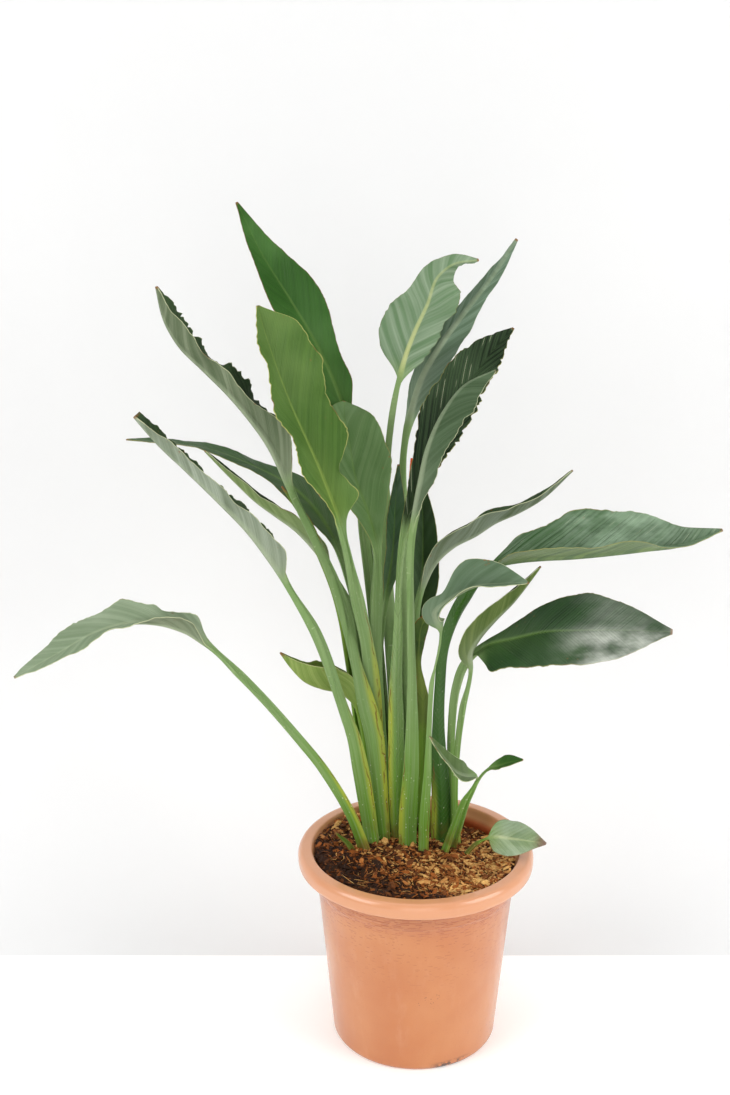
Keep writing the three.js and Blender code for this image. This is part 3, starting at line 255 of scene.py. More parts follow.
add_leaf("bract_yellow", 7, 3, 0.6, 2, 0,
     (-60, 98, 225, 20, 5, 5, 25), (-76, 105, 380, 30, 5, 5, 25), (-88, 105, 470, 50, 20, 5, 30),
     (-110, 70, 592, 80, 30, 7, 6, 45, 45), (-127, 66, 638, 92, 40, 11, 9, 55, 50),
     (-144, 68, 680, 94, 46, 11, 9, 55, 50), (-172, 72, 726, 92, 50, 1.2, 1.2, 50, 45))

RANDOM_SEED = 11
rng = np.random.default_rng(RANDOM_SEED)


def mesh_object(name, vertices, faces, smooth=True):
    """A mesh object from millimetre points and faces of one size."""
    vertices = np.asarray(vertices, float)
    faces = np.asarray(faces, np.int32)
    corners = faces.shape[1]
    data = bpy.data.meshes.new(name)
    data.vertices.add(len(vertices))
    data.vertices.foreach_set("co", (vertices * MM).astype(np.float32).ravel())
    data.loops.add(faces.size)
    data.loops.foreach_set("vertex_index", faces.ravel())
    data.polygons.add(len(faces))
    data.polygons.foreach_set("loop_start", np.arange(0, faces.size, corners, dtype=np.int32))
    data.polygons.foreach_set("use_smooth", np.full(len(faces), smooth))
    data.update(calc_edges=True)
    data.validate()
    obj = bpy.data.objects.new(name, data)
    scene.collection.objects.link(obj)
    return obj


def point_values(obj, name, values):
    """A number or a vector at each vertex, for the materials."""
    values = np.asarray(values, np.float32)
    if values.ndim == 1:
        layer = obj.data.attributes.new(name, "FLOAT", "POINT")
        layer.data.foreach_set("value", values)
    else:
        layer = obj.data.attributes.new(name, "FLOAT_VECTOR", "POINT")
        layer.data.foreach_set("vector", values.ravel())


def keep(obj, node_names, material):
    """A finished piece of the object that stands for some nodes."""
    obj.data.materials.clear()
    obj.data.materials.append(material)
    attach(obj, "root")
    if node_names:
        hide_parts(*node_names)


def smoothstep(x, low, high):
    t = np.clip((x - low) / (high - low), 0, 1)
    return t * t * (3 - 2 * t)


def facing(turn, rise):
    """Direction from a compass turn, 0 to the viewer, and a rise."""
    turn, rise = math.radians(turn), math.radians(rise)
    flat = math.cos(rise)
    return np.array([math.sin(turn) * flat, -math.cos(turn) * flat, math.sin(rise)])


def curve(at, values, s):
    """Smooth curve through rows of values, with slopes from the neighbours."""
    values = np.asarray(values, float)
    steps = np.diff(at)
    chord = np.diff(values, axis=0) / steps.reshape(-1, *[1] * (values.ndim - 1))
    share = (steps[1:] / (steps[1:] + steps[:-1])).reshape(-1, *[1] * (values.ndim - 1))
    slope = np.concatenate([chord[:1], chord[:-1] * share + chord[1:] * (1 - share), chord[-1:]])
    i = np.clip(np.searchsorted(at, s, side="left") - 1, 0, len(at) - 2)
    shape = (-1, *[1] * (values.ndim - 1))
    span = steps[i].reshape(shape)
    t = ((s - at[i]) / steps[i]).reshape(shape)
    t2, t3 = t * t, t * t * t
    return (values[i] * (2 * t3 - 3 * t2 + 1) + values[i + 1] * (3 * t2 - 2 * t3)
            + span * (slope[i] * (t3 - 2 * t2 + t) + slope[i + 1] * (t3 - t2)))


def unit(vectors):
    return vectors / np.linalg.norm(vectors, axis=-1, keepdims=True)


def tube_faces(rings, count):
    """Faces of a tube whose points lie ring after ring."""
    k = np.arange(count)
    first = count * np.arange(rings - 1)[:, None]
    a = (first + k).ravel()
    b = (first + (k + 1) % count).ravel()
    return np.stack([a, b, b + count, a + count], axis=1)


def value_noise(x, seed):
    """Smooth one-dimensional noise from -1 to 1, repeatable."""
    table = np.random.default_rng(seed).uniform(-1, 1, 512)
    low = np.floor(x).astype(int)
    t = smoothstep(x - low, 0, 1)
    return table[low % 512] * (1 - t) + table[(low + 1) % 512] * t


# Leaf skins, in millimetres: steps along the leaf, the stretches over which stalk turns into blade
# and grows thin, the heights between which a swollen sheath ends, and the sizes of its unevenness
STALK_STEP = 6.0
BLADE_STEP = 2.8
COLUMNS_PER_MM = 0.75
MIN_COLUMNS = 9
MAX_COLUMNS = 30
JOIN_BEFORE = 12
JOIN_AFTER = 22
THIN_BEFORE = 60
THIN_AFTER = 40
SWELL_FULL = 400
SWELL_END = 520
NOTCH_SIZE = 7
NICK_SIZE = 3.4
LOBE_SIZE = 20
FLUTE_SIZE = 16
CRINKLE_SIZE = 4.6
GROOVE_WIDTH = 2.2
TIP_START = 0.97


def leaf_piece(name, leaf, look, seed):
    """Fine skin of one leaf over the same rows as its solid."""
    rows = np.array(leaf["rows"], float)
    at = np.concatenate([[0], np.cumsum(np.linalg.norm(np.diff(rows[:, :3], axis=0), axis=1))])
    neck, end = at[leaf["neck"]], at[-1]
    stalk = np.linspace(0, neck, max(8, int(neck / STALK_STEP)), endpoint=False)
    blade_stops = np.linspace(neck, end, max(24, int((end - neck) / BLADE_STEP)))
    s = np.concatenate([stalk, blade_stops])
    centre = curve(at, rows[:, :3], s)
    along = unit(curve(at, rows[:, :3], np.minimum(s + 2, end))
                 - curve(at, rows[:, :3], np.maximum(s - 2, 0)))
    up = curve(at, np.array([facing(row[3], row[4]) for row in rows]), s)
    up = unit(up - along * np.sum(up * along, axis=1, keepdims=True))
    side = np.cross(along, up)
    half_count = int(np.clip(rows[:, 5:7].max() * COLUMNS_PER_MM, MIN_COLUMNS, MAX_COLUMNS))
    # From here on, each row of an array is a station along the leaf, each column a place across it
    mm_along = s[:, None]
    blade = np.maximum(0, (mm_along - neck) / (end - neck))
    join = smoothstep(mm_along, neck - JOIN_BEFORE, neck + JOIN_AFTER)
    petiole = 1 - 0.25 * np.minimum(1, mm_along / neck)
    ribbed = 0.2 + 0.25 * (1 - blade) ** 0.6
    drop = smoothstep(mm_along, neck - THIN_BEFORE, neck + THIN_AFTER)
    depth = np.maximum(BLADE_THICKNESS, leaf["depth"] * (petiole + (ribbed - petiole) * drop))
    widths = np.maximum(TIP_HALF_WIDTH, curve(at, rows[:, 5:7], s))
    # Sheaths swell low down, where they press together
    widths = widths * (1 + look["swell"] * (1 - smoothstep(centre[:, 2:], SWELL_FULL, SWELL_END)))
    lifts = curve(at, rows[:, 7:9], s)

    line = np.linspace(-1, 1, 2 * half_count + 1)
    c = np.sign(line) * (0.35 * np.abs(line) + 0.65 * np.abs(line) ** 1.25)
    share = np.abs(c)
    left = c < 0
    sign = np.where(left, -1.0, 1.0)
    width = np.where(left, widths[:, :1], widths[:, 1:])
    lift = np.where(left, lifts[:, :1], lifts[:, 1:])
    bend = leaf["bend"] * join

    def sides(values):
        """The first value left of the midrib, the second right of it."""
        return np.where(left, values[0], values[1])

    def noise(size, number):
        """Noise along the leaf, another one for each side."""
        return sides([value_noise(mm_along / size, seed + number + k) for k in (0, 1)])

    # Notches, fine crinkles and broad flutes along the margin
    rim = join * (blade < TIP_START)
    nick = np.maximum(0, noise(NOTCH_SIZE, 0) - 0.25) + 0.35 * noise(NICK_SIZE, 8)
    width = width * (1 - sides(look["notch"]) * nick * share ** 6 * rim)
    width = width * (1 + sides(look["lobe"]) * noise(LOBE_SIZE, 11) * share ** 3 * join)
    for edge, at_share, spread, size in look["lobes"]:
        swell = size * np.exp(-((blade - at_share) / spread) ** 2) * share ** 2 * rim
        width = width + np.where(left == (edge < 0), swell, 0)
    across = np.zeros_like(width * share)
    rise = np.zeros_like(across)
    for k in range(4):
        angle = np.radians(lift + bend * share * (k + 0.5) / 4)
        across = across + np.cos(angle) * share * width / 4
        rise = rise + np.sin(angle) * share * width / 4
    outward = np.radians(lift + bend * share)
    normal_across = np.where(share > 0, -sign * np.sin(outward), 0)
    normal_rise = np.where(share > 0, np.cos(outward), 1)
    envelope = np.sin(np.pi * blade)
    phase = 2 * np.pi * leaf["waves"] * blade + np.where(left, 0.6, 2.4)
    ripple = leaf["wave"] * join * share ** 2 * envelope * np.sin(phase)
    ripple = ripple + look["flutes"] * join * share ** 3 * envelope ** 0.6 * noise(FLUTE_SIZE, 2)
    ripple = ripple + sides(look["crinkle"]) * share ** 5 * rim * noise(CRINKLE_SIZE, 5)
    # Side veins leave the midrib and lean towards the tip
    vein_line = mm_along - look["lean"] * share * width
    veins = np.cos(2 * np.pi * vein_line / look["pitch"])
    ripple = ripple + (look["relief"] * veins * join * share ** 0.5 * (1 - share ** 6)
                       * envelope ** 0.5)
    mm_across = share * width
    groove = look["groove"] * np.exp(-(mm_across / GROOVE_WIDTH) ** 2) * join * (1 - blade)
    stalk_thickness = depth * (0.3 + 0.7 * np.sqrt(np.maximum(0, 1 - share ** 2)))
    rib = np.maximum(0, 1 - mm_across / RIB_HALF_WIDTH)
    blade_thickness = (MARGIN_THICKNESS + (BLADE_THICKNESS - MARGIN_THICKNESS) * (1 - share)
                       + (depth - BLADE_THICKNESS) * rib)
    thickness = stalk_thickness + (blade_thickness - stalk_thickness) * join
    # A stalk is round in front low down and channelled near the blade
    hollow = smoothstep(lift, -5, 20) * 0.24 - 0.12
    channel = hollow * depth * (1 - share ** 2) * (1 - join)
    x = sign * across + normal_across * ripple
    z = rise + normal_rise * ripple + depth / 2

    def placed(x, z):
        """Points from places across each station's own plane."""
        return centre[:, None] + side[:, None] * x[..., None] + up[:, None] * z[..., None]

    upper = placed(x, z - groove - channel)
    lower = placed(x - normal_across * thickness, z - normal_rise * thickness)
    count = len(c)
    ring = 2 * count
    points = np.concatenate([upper, lower[:, ::-1]], axis=1)
    k = np.arange(count - 1)
    start_cap = np.stack([k, ring - 1 - k, ring - 2 - k, k + 1], axis=1)
    top = (len(s) - 1) * ring
    end_cap = np.stack([top + k, top + k + 1, top + ring - 2 - k, top + ring - 1 - k], axis=1)
    faces = np.concatenate([tube_faces(len(s), ring), start_cap, end_cap])
    obj = mesh_object(name, points.reshape(-1, 3), faces)

    full = np.ones((len(s), count))
    point_values(obj, "upper_face", np.concatenate([full, 0 * full], axis=1).ravel())

    def both(grid):
        """One number for each point of the upper face, then of the lower one."""
        grid = grid * full
        return np.concatenate([grid, grid[:, ::-1]], axis=1).ravel()

    for label, grid in (("blade", blade), ("join", join), ("share", share)):
        point_values(obj, label, both(grid))
    leaf_mm = [both(grid) for grid in (sign * mm_across, mm_along, vein_line)]
    point_values(obj, "leaf_mm", np.stack(leaf_mm, axis=1) * MM)
    return obj

def srgb(r, g, b):
    """Linear colour from a screen colour of 0 to 255."""
    values = []
    for v in (r, g, b):
        v = v / 255
        values.append(v / 12.92 if v <= 0.04045 else ((v + 0.055) / 1.055) ** 2.4)
    return (*values, 1)


class Nodes:
    """Short calls for building one material."""

    def __init__(self, name):
        self.material = bpy.data.materials.new(name)
        self.material.use_nodes = True
        self.tree = self.material.node_tree
        self.shader = self.tree.nodes["Principled BSDF"]

    def put(self, socket, value):
        if isinstance(value, bpy.types.NodeSocket):
            self.tree.links.new(value, socket)
        else:
            socket.default_value = value

    def add(self, kind, inputs=None, **values):
        node = self.tree.nodes.new(kind)
        for key, value in values.items():
            setattr(node, key, value)
        for key, value in (inputs or {}).items():
            self.put(node.inputs[key], value)
        return node

    def value(self, name):
        return self.add("ShaderNodeAttribute", attribute_name=name).outputs["Fac"]

    def vector(self, name):
        return self.add("ShaderNodeAttribute", attribute_name=name).outputs["Vector"]

    def place(self):
        return self.add("ShaderNodeTexCoord").outputs["Object"]

    def parts(self, vector):
        return self.add("ShaderNodeSeparateXYZ", {0: vector}).outputs[:]

    def math(self, operation, a, b=0.0, clamp=False):
        return self.add("ShaderNodeMath", {0: a, 1: b}, operation=operation, use_clamp=clamp).outputs[0]

    def times(self, first, *others):
        for other in others:
            first = self.math("MULTIPLY", first, other)
        return first

    def from_half(self, value):
        """Distance of a number's fraction from one half."""
        return self.math("ABSOLUTE", self.math("SUBTRACT", self.math("FRACT", value), 0.5))

    def ramp(self, value, low, high, to_low=0.0, to_high=1.0):
        limits = {"Value": value, "From Min": low, "From Max": high, "To Min": to_low, "To Max": to_high}
        return self.add("ShaderNodeMapRange", limits, interpolation_type="SMOOTHSTEP").outputs["Result"]

    def scaled(self, vector, scale, offset=(0, 0, 0)):
        inputs = {"Vector": vector, "Scale": scale, "Location": offset}
        return self.add("ShaderNodeMapping", inputs).outputs["Vector"]

    def noise(self, vector, scale, detail=2.0, roughness=0.5):
        inputs = {"Vector": vector, "Scale": scale, "Detail": detail, "Roughness": roughness}
        return self.add("ShaderNodeTexNoise", inputs).outputs["Fac"]

    def cells(self, vector, scale):
        return self.add("ShaderNodeTexVoronoi", {"Vector": vector, "Scale": scale}).outputs["Distance"]

    def mix(self, factor, a, b):
        inputs = {"Factor": factor, 6: a, 7: b}
        return self.add("ShaderNodeMix", inputs, data_type="RGBA", blend_type="MIX").outputs[2]

    def bump(self, height, distance, strength=1.0, normal=None):
        inputs = {"Strength": strength, "Distance": distance, "Height": height}
        if normal is not None:
            inputs["Normal"] = normal
        return self.add("ShaderNodeBump", inputs).outputs["Normal"]

    def finish(self, **inputs):
        """Fills the surface's inputs, named with _ for a space."""
        for key, value in inputs.items():
            self.put(self.shader.inputs[key.replace("_", " ")], value)
        return self.material


DRY_BROWN = srgb(128, 88, 50)
WING_YELLOW = srgb(178, 184, 62)
PAPER_BROWN = srgb(112, 72, 36)
PALE_SPECK = srgb(206, 212, 176)

# Lengths and heights in metres, as the materials see them
RIB_TIP_WIDTH = 0.0008
GLOW_REACH = 0.03
SEAM_SOFTNESS = 0.012
SOIL_LINE = 0.246
STAIN_TOP = 0.29
STALK_FOOT = 0.26
WING_FADE = 0.08


def leaf_material(name, look, seed):
    """Blade with side veins, midrib, thin pale margin and dry tip; stalk yellow-green low down."""
    n = Nodes(name)
    offset = (seed * 1.7, seed * 0.9, seed * 2.3)
    place = n.place()
    leaf_mm = n.vector("leaf_mm")
    upper_face = n.value("upper_face")
    blade = n.value("blade")
    join = n.value("join")
    share = n.value("share")
    signed, _, vein_line = n.parts(leaf_mm)
    across = n.math("ABSOLUTE", signed)
    level = n.parts(place)[2]

    def streaks(scale, detail=2, roughness=0.5):
        """Noise stretched over the leaf's own width and length."""
        return n.noise(n.scaled(leaf_mm, scale, offset), 1.0, detail, roughness)

    broad = streaks((6, 0, 90))
    vein = streaks((9, 0, look["veins"]), 2, 0.6)
    fine = streaks((20, 0, 3.4 * look["veins"]), 1)
    mottle = n.noise(n.scaled(place, (1, 1, 1), offset), 26, 3, 0.6)
    sheen_patch = n.noise(n.scaled(place, (1, 1, 1), offset), 8, 2, 0.5)

    line = n.ramp(n.from_half(n.times(vein_line, 1000 / look["line_pitch"])), 0.28, 0.5)
    line = n.times(line, n.ramp(vein, 0.3, 0.7, look["lines"], 0.3 * look["lines"]))
    from_crest = n.from_half(n.times(vein_line, 1000 / look["pitch"]))
    # Lighter stripes in the rhythm of the pleats, a painted highlight as strong as the relief
    pleat_highlight = n.ramp(from_crest, 0.12, 0.42, 0.5 * look["relief"], 0)
    slit = n.ramp(from_crest, 0.015, 0.04, look["slit"], 0)
    slit = n.times(slit, n.ramp(streaks((70, 0, 40), 1), 0.56, 0.64), n.ramp(share, 0.05, 0.2))

    top = n.mix(n.ramp(broad, 0.3, 0.7), look["upper_dark"], look["upper"])
    # Lighter patches on the upper face are a painted sheen
    top = n.mix(n.ramp(sheen_patch, 0.45, 0.8), top, look["upper_light"])
    top = n.mix(n.ramp(vein, 0.56, 0.8, 0, look["contrast"]), top, look["upper_light"])
    top = n.mix(pleat_highlight, top, look["upper_light"])
    top = n.mix(line, top, look["upper_dark"])
    top = n.mix(slit, top, PALE_SPECK)
    under = n.mix(n.ramp(broad, 0.3, 0.75), look["under_dark"], look["under"])
    under = n.mix(line, under, look["under_dark"])
    under = n.mix(n.ramp(vein, 0.3, 0.55, look["contrast"], 0), under, look["under_dark"])
    colour = n.mix(upper_face, under, top)
    dust = n.mix(upper_face, look["under"], look["upper_light"])
    colour = n.mix(n.ramp(mottle, 0.5, 0.8, 0, 0.22), colour, dust)
    # Midrib narrows towards the tip and is paler than the blade
    rib_width = n.ramp(blade, 0.0, 1.0, look["rib_width"], RIB_TIP_WIDTH)
    soft = n.math("SUBTRACT", 1.0, n.math("DIVIDE", across, rib_width), True)
    rib = n.times(n.math("POWER", soft, 0.6), n.ramp(blade, 0.0, 1.0, look["rib_strength"], 0.25))
    colour = n.mix(rib, colour, look["rib"])
    glow = n.times(n.ramp(across, 0.0, GLOW_REACH, 0.45, 0), n.ramp(blade, 0.0, 0.55, 1, 0), look["glow"])
    colour = n.mix(glow, colour, look["rib"])
    margin = n.ramp(share, 0.975, 0.995, 0, 0.8)
    rusty = n.mix(n.ramp(n.noise(place, 34, 2), 0.58, 0.72), look["margin"], DRY_BROWN)
    colour = n.mix(margin, colour, rusty)
    # Small dry spots near the margin
    dots = n.cells(n.scaled(leaf_mm, (170, 110, 0), offset), 1.0)
    spot = n.times(n.ramp(dots, 0.12, 0.26, 1, 0), n.ramp(share, 0.6, 0.95),
                   n.ramp(n.noise(place, 24, 2), 0.56, 0.62, 0, 0.7))
    colour = n.mix(spot, colour, DRY_BROWN)
    tip = n.times(n.ramp(blade, look["dry_from"], 1.0), n.ramp(mottle, 0.3, 0.5))
    colour = n.mix(tip, colour, look["dry"])
    # Painted sheen: a dull white painted reflection in ragged patches on some leaves
    painted_sheen = n.times(n.ramp(streaks((24, 12, 0), 4, 0.6), 0.3, 0.74),
                   n.ramp(blade, look["painted_sheen_from"], look["painted_sheen_from"] + 0.35),
                   n.ramp(signed, -SEAM_SOFTNESS, SEAM_SOFTNESS, *look["painted_sheen_sides"]),
                   n.ramp(vein, 0.25, 0.7, 0.8, 1), upper_face, look["painted_sheen"])
    colour = n.mix(painted_sheen, colour, look["painted_sheen_tone"])

    low = n.ramp(level, STALK_FOOT, look["stalk_fade"], 1, 0)
    streak = streaks((520, 8, 0))
    stalk = n.mix(low, look["stalk"], look["stalk_low"])
    stalk = n.mix(n.ramp(streak, 0.35, 0.75, 0, 0.4), stalk, look["stalk_light"])
    # One side of the sheath is yellow, with a dry brown edge
    wing_low, wing_high, wing_side = look["wing"]
    far = n.times(n.math("SIGN", signed), wing_side)
    aside = n.times(n.ramp(share, 0.15, 0.75), n.math("GREATER_THAN", far, 0.0))
    wing = n.times(n.ramp(level, wing_high - WING_FADE, wing_high, 1, 0), aside,
                   n.ramp(level, wing_low - 0.06, wing_low + 0.02), n.ramp(streak, 0.2, 0.7, 0.9, 0.5))
    stalk = n.mix(wing, stalk, WING_YELLOW)
    crooked = n.math("ADD", share, n.ramp(n.noise(place, 40, 3), 0.2, 0.8, -0.2, 0.2))
    edge = n.times(n.ramp(crooked, 0.66, 0.74), n.ramp(crooked, 0.78, 0.86, 1, 0),
                   n.ramp(level, wing_high, wing_high + 0.03, 1, 0), aside,
                   n.ramp(n.noise(place, 45, 3), 0.36, 0.6), 0.75)
    stalk = n.mix(edge, stalk, PAPER_BROWN)
    scales = n.cells(n.scaled(leaf_mm, (260, 130, 0), offset), 1.0)
    speck = n.times(n.ramp(scales, 0.06, 0.2, 1, 0), n.ramp(n.noise(place, 90, 1), 0.45, 0.57),
                    n.ramp(low, 0, 1, 0.25, 0.9))
    stalk = n.mix(speck, stalk, PALE_SPECK)
    foot = n.times(n.ramp(level, SOIL_LINE, STAIN_TOP, 1, 0), n.ramp(mottle, 0.42, 0.62), 0.7)
    stalk = n.mix(foot, stalk, PAPER_BROWN)

    dull = n.ramp(mottle, 0.3, 0.8, look["roughness"], look["roughness"] + 0.16)
    relief = n.times(n.math("ADD", n.times(vein, 0.65), n.times(fine, 0.35)), join)
    normal = n.bump(n.math("SUBTRACT", relief, line), 0.0014, look["vein_bump"])
    return n.finish(Base_Color=n.mix(join, stalk, colour),
                    Roughness=n.math("ADD", dull, n.ramp(upper_face, 0, 1, 0.12, 0.0)),
                    Specular_IOR_Level=look["shine"], Normal=n.bump(streak, 0.0006, 0.3, normal))


# Marks on the pot and its painted rim highlight: places and heights in metres
FOOT_STAIN = (0.045, -0.097, 0.002)
STAIN_REACH = (0.012, 0.034)
DASH_ROW = 0.0023
RIM_HIGHLIGHT = (0.2405, 0.2425)
BAND_START = (0.195, 0.215)
BAND_END = (0.240, 0.243)


def pot_material():
    """Satin terracotta-coloured plastic with turning marks, scuffs and soil stains."""
    n = Nodes("pot_plastic")
    place = n.place()
    x, y, z = n.parts(place)
    scuff = n.noise(n.scaled(place, (1, 1, 0.35)), 38, 4, 0.65)
    cloud = n.noise(place, 9, 3, 0.55)
    upright = n.noise(n.scaled(n.vector("turned"), (6, 0.02, 1)), 1.0, 2, 0.5)
    colour = n.mix(n.ramp(cloud, 0.3, 0.75), srgb(184, 108, 54), srgb(194, 124, 70))
    colour = n.mix(n.ramp(scuff, 0.5, 0.85, 0, 0.35), colour, srgb(206, 150, 112))
    colour = n.mix(n.ramp(upright, 0.55, 0.8, 0, 0.25), colour, srgb(164, 94, 58))
    # Painted highlight: the top of the rim is painted paler
    colour = n.mix(n.ramp(z, *RIM_HIGHLIGHT, 0, 0.5), colour, srgb(220, 162, 124))
    band = n.times(n.ramp(z, *BAND_START), n.ramp(z, *BAND_END, 1, 0))
    colour = n.mix(n.times(band, 0.35), colour, srgb(174, 98, 60))
    # Turned dashes in rows, dense under the rim and sparse lower down
    row = n.math("DIVIDE", z, DASH_ROW)
    steps = {"X": n.times(x, 120), "Y": n.times(y, 120), "Z": n.times(n.math("FLOOR", row), 3.7)}
    dashes = n.noise(n.add("ShaderNodeCombineXYZ", steps).outputs["Vector"], 1.0, 1, 0.5)
    thin = n.ramp(n.from_half(row), 0.15, 0.35, 1, 0)
    marks = n.times(thin, band, n.ramp(dashes, 0.48, 0.56))
    colour = n.mix(n.times(marks, 0.6), colour, srgb(156, 66, 22))
    below = n.times(thin, n.ramp(z, 0.08, 0.2, 0, 0.45), n.ramp(z, 0.205, 0.222, 1, 0),
                    n.ramp(dashes, 0.6, 0.66))
    colour = n.mix(below, colour, srgb(150, 74, 34))
    # Specks of soil, thickest at one place on the bottom edge
    sparse = n.ramp(n.noise(place, 14, 2), 0.62, 0.7)
    speck = n.times(n.ramp(n.cells(place, 230), 0.12, 0.2, 1, 0), sparse, 0.55)
    colour = n.mix(speck, colour, srgb(70, 44, 30))
    near = n.add("ShaderNodeVectorMath", {0: place, 1: FOOT_STAIN}, operation="DISTANCE").outputs["Value"]
    foot = n.times(n.ramp(near, *STAIN_REACH, 1, 0), n.ramp(z, 0.004, 0.012, 1, 0),
                   n.ramp(n.noise(place, 160, 2), 0.42, 0.5), 0.9)
    colour = n.mix(foot, colour, srgb(44, 30, 22))
    # The inside is painted a darker red, painted shade of the pot's hollow, and stained in patches
    inside = n.value("inside")
    stain = n.times(inside, n.ramp(n.noise(place, 30, 3), 0.35, 0.65), 0.45)
    colour = n.mix(n.times(inside, 0.75), colour, srgb(190, 74, 30))
    colour = n.mix(stain, colour, srgb(136, 48, 20))
    normal = n.bump(n.math("SUBTRACT", 1.0, marks), 0.0006, 0.6)
    return n.finish(Base_Color=colour, Roughness=n.ramp(scuff, 0.3, 0.8, 0.36, 0.55),
                    Specular_IOR_Level=0.45, Coat_Weight=0.8, Coat_Roughness=0.16,
                    Normal=n.bump(scuff, 0.0004, 0.25, normal))


def bark_material(name, dark, middle, light, rough=0.65):
    """Bark and coir: a tone for each chip, fibrous streaks along it."""
    n = Nodes(name)
    place = n.place()
    tone = n.value("tone")
    grain = n.noise(n.scaled(place, (1, 1, 1.6)), 260, 3, 0.7)
    colour = n.mix(n.ramp(tone, 0.0, 0.55), dark, middle)
    colour = n.mix(n.ramp(tone, 0.55, 1.0), colour, light)
    colour = n.mix(n.ramp(grain, 0.35, 0.75, 0, 0.7), colour, n.mix(tone, dark, middle))
    damp = n.ramp(n.noise(place, 16, 2), 0.35, 0.65, 0.35, 0)
    return n.finish(Base_Color=n.mix(damp, colour, dark), Roughness=rough, Specular_IOR_Level=0.15,
                    Normal=n.bump(grain, 0.0008, 0.6))


# How each kind of leaf looks. Pitch, line_pitch, relief, groove, flutes and crinkle are in
# millimetres, rib_width and the two heights of a wing in metres. Lean is how far side veins lean for
# each millimetre of width, and veins is the fineness of the streaks. Pairs are for the left and the
# right side, and a wing ends with its side. A lobe has its side, its place along the blade, its
# spread and its size in millimetres. The rest are shares.
# The sheen keys set a painted sheen, a whitish painted reflection in patches on the upper face.
DEEP = {
    "upper": (46, 88, 26), "upper_dark": (38, 76, 20), "upper_light": (58, 98, 36),
    "under": (118, 136, 102), "under_dark": (92, 114, 78), "rib": (96, 126, 60),
    "margin": (140, 138, 78), "dry": (128, 88, 50), "stalk": (114, 142, 86),
    "stalk_light": (150, 168, 122), "stalk_low": (98, 142, 42), "painted_sheen_tone": (198, 202, 192),
    "painted_sheen": 0.0, "painted_sheen_from": 0.5, "painted_sheen_sides": (0.3, 1), "lean": 2.0, "pitch": 14.0, "relief": 0.05,
    "groove": 0.6, "flutes": 0.8, "veins": 420, "crinkle": (0.3, 0.3), "notch": (0.03, 0.03),
    "contrast": 0.25, "vein_bump": 0.6, "rib_strength": 0.7, "glow": 0.5, "dry_from": 0.985,
    "stalk_fade": 0.5, "wing": (0.26, 0.3, 1), "roughness": 0.4, "shine": 0.16, "rib_width": 0.0034,
    "line_pitch": 4.5, "lines": 0.45, "slit": 0.0, "lobe": (0.04, 0.04), "lobes": (), "swell": 0.1,
}
MID = {
    **DEEP, "upper": (74, 106, 40), "upper_dark": (58, 90, 30), "upper_light": (98, 126, 64),
    "rib": (136, 158, 74), "margin": (186, 184, 108), "flutes": 1.6,
}
PALE = {
    **DEEP, "upper": (44, 66, 34), "upper_dark": (28, 46, 22), "upper_light": (70, 92, 56),
    "under": (122, 132, 106), "under_dark": (84, 98, 70), "rib": (156, 168, 138),
    "margin": (196, 200, 160), "rib_width": 0.0046, "flutes": 1.6, "roughness": 0.44, "contrast": 0.3,
    "pitch": 11.0, "relief": 0.2, "line_pitch": 4.4, "lines": 0.45, "veins": 560,
}
RIBBED = {
    **DEEP, "upper": (22, 38, 18), "upper_dark": (10, 20, 8), "upper_light": (60, 80, 52),
    "under": (76, 98, 66), "under_dark": (46, 66, 38), "rib": (52, 70, 40), "pitch": 20.0,
    "relief": 1.1, "lean": 2.6, "contrast": 0.7, "slit": 0.75, "line_pitch": 10.0, "lines": 0.7,
    "crinkle": (1.0, 2.0), "notch": (0.1, 0.35), "vein_bump": 0.8, "shine": 0.1, "lobe": (0.05, 0.12),
}
SHEENY = {
    **DEEP, "upper": (52, 88, 42), "upper_dark": (34, 68, 26), "upper_light": (116, 140, 110),
    "under": (120, 140, 90), "rib": (82, 108, 66), "painted_sheen_tone": (156, 182, 152), "painted_sheen": 0.9,
    "painted_sheen_from": 0.15, "painted_sheen_sides": (1, 0.5), "relief": 0.5, "pitch": 13.0, "lean": 1.5,
    "roughness": 0.32, "shine": 0.4, "contrast": 0.4, "slit": 0.4, "lines": 0.65, "line_pitch": 8.0,
    "veins": 300,
}
TOP = {
    **DEEP, "under": (142, 160, 134), "under_dark": (96, 124, 88), "rib": (184, 190, 128),
    "margin": (120, 126, 72), "rib_strength": 0.9, "rib_width": 0.0024, "relief": 0.25, "pitch": 9.0,
    "lean": 1.0, "line_pitch": 5.5, "veins": 560, "lines": 0.4, "contrast": 0.12, "crinkle": (1.6, 0.6),
    "notch": (0.12, 0.05), "flutes": 1.6, "glow": 0.0, "lobe": (0.12, 0.06), "swell": -0.03,
}
SHEATH = {
    **DEEP, "upper": (104, 130, 54), "upper_dark": (80, 108, 38), "upper_light": (136, 150, 66),
    "under": (98, 126, 48), "under_dark": (74, 104, 34), "rib": (122, 142, 62), "margin": (130, 90, 48),
    "stalk": (98, 128, 44), "stalk_light": (128, 148, 58), "rib_strength": 0.3, "dry_from": 0.9,
    "flutes": 0.3, "groove": 0.1,
}
SMALL = {"relief": 0.03, "flutes": 0.4, "pitch": 6.0, "lean": 1.4, "notch": (0.02, 0.02)}
CRINKLED = {"crinkle": (0.5, 2.2), "notch": (0.05, 0.3), "flutes": 2.2, "lobe": (0.05, 0.2)}
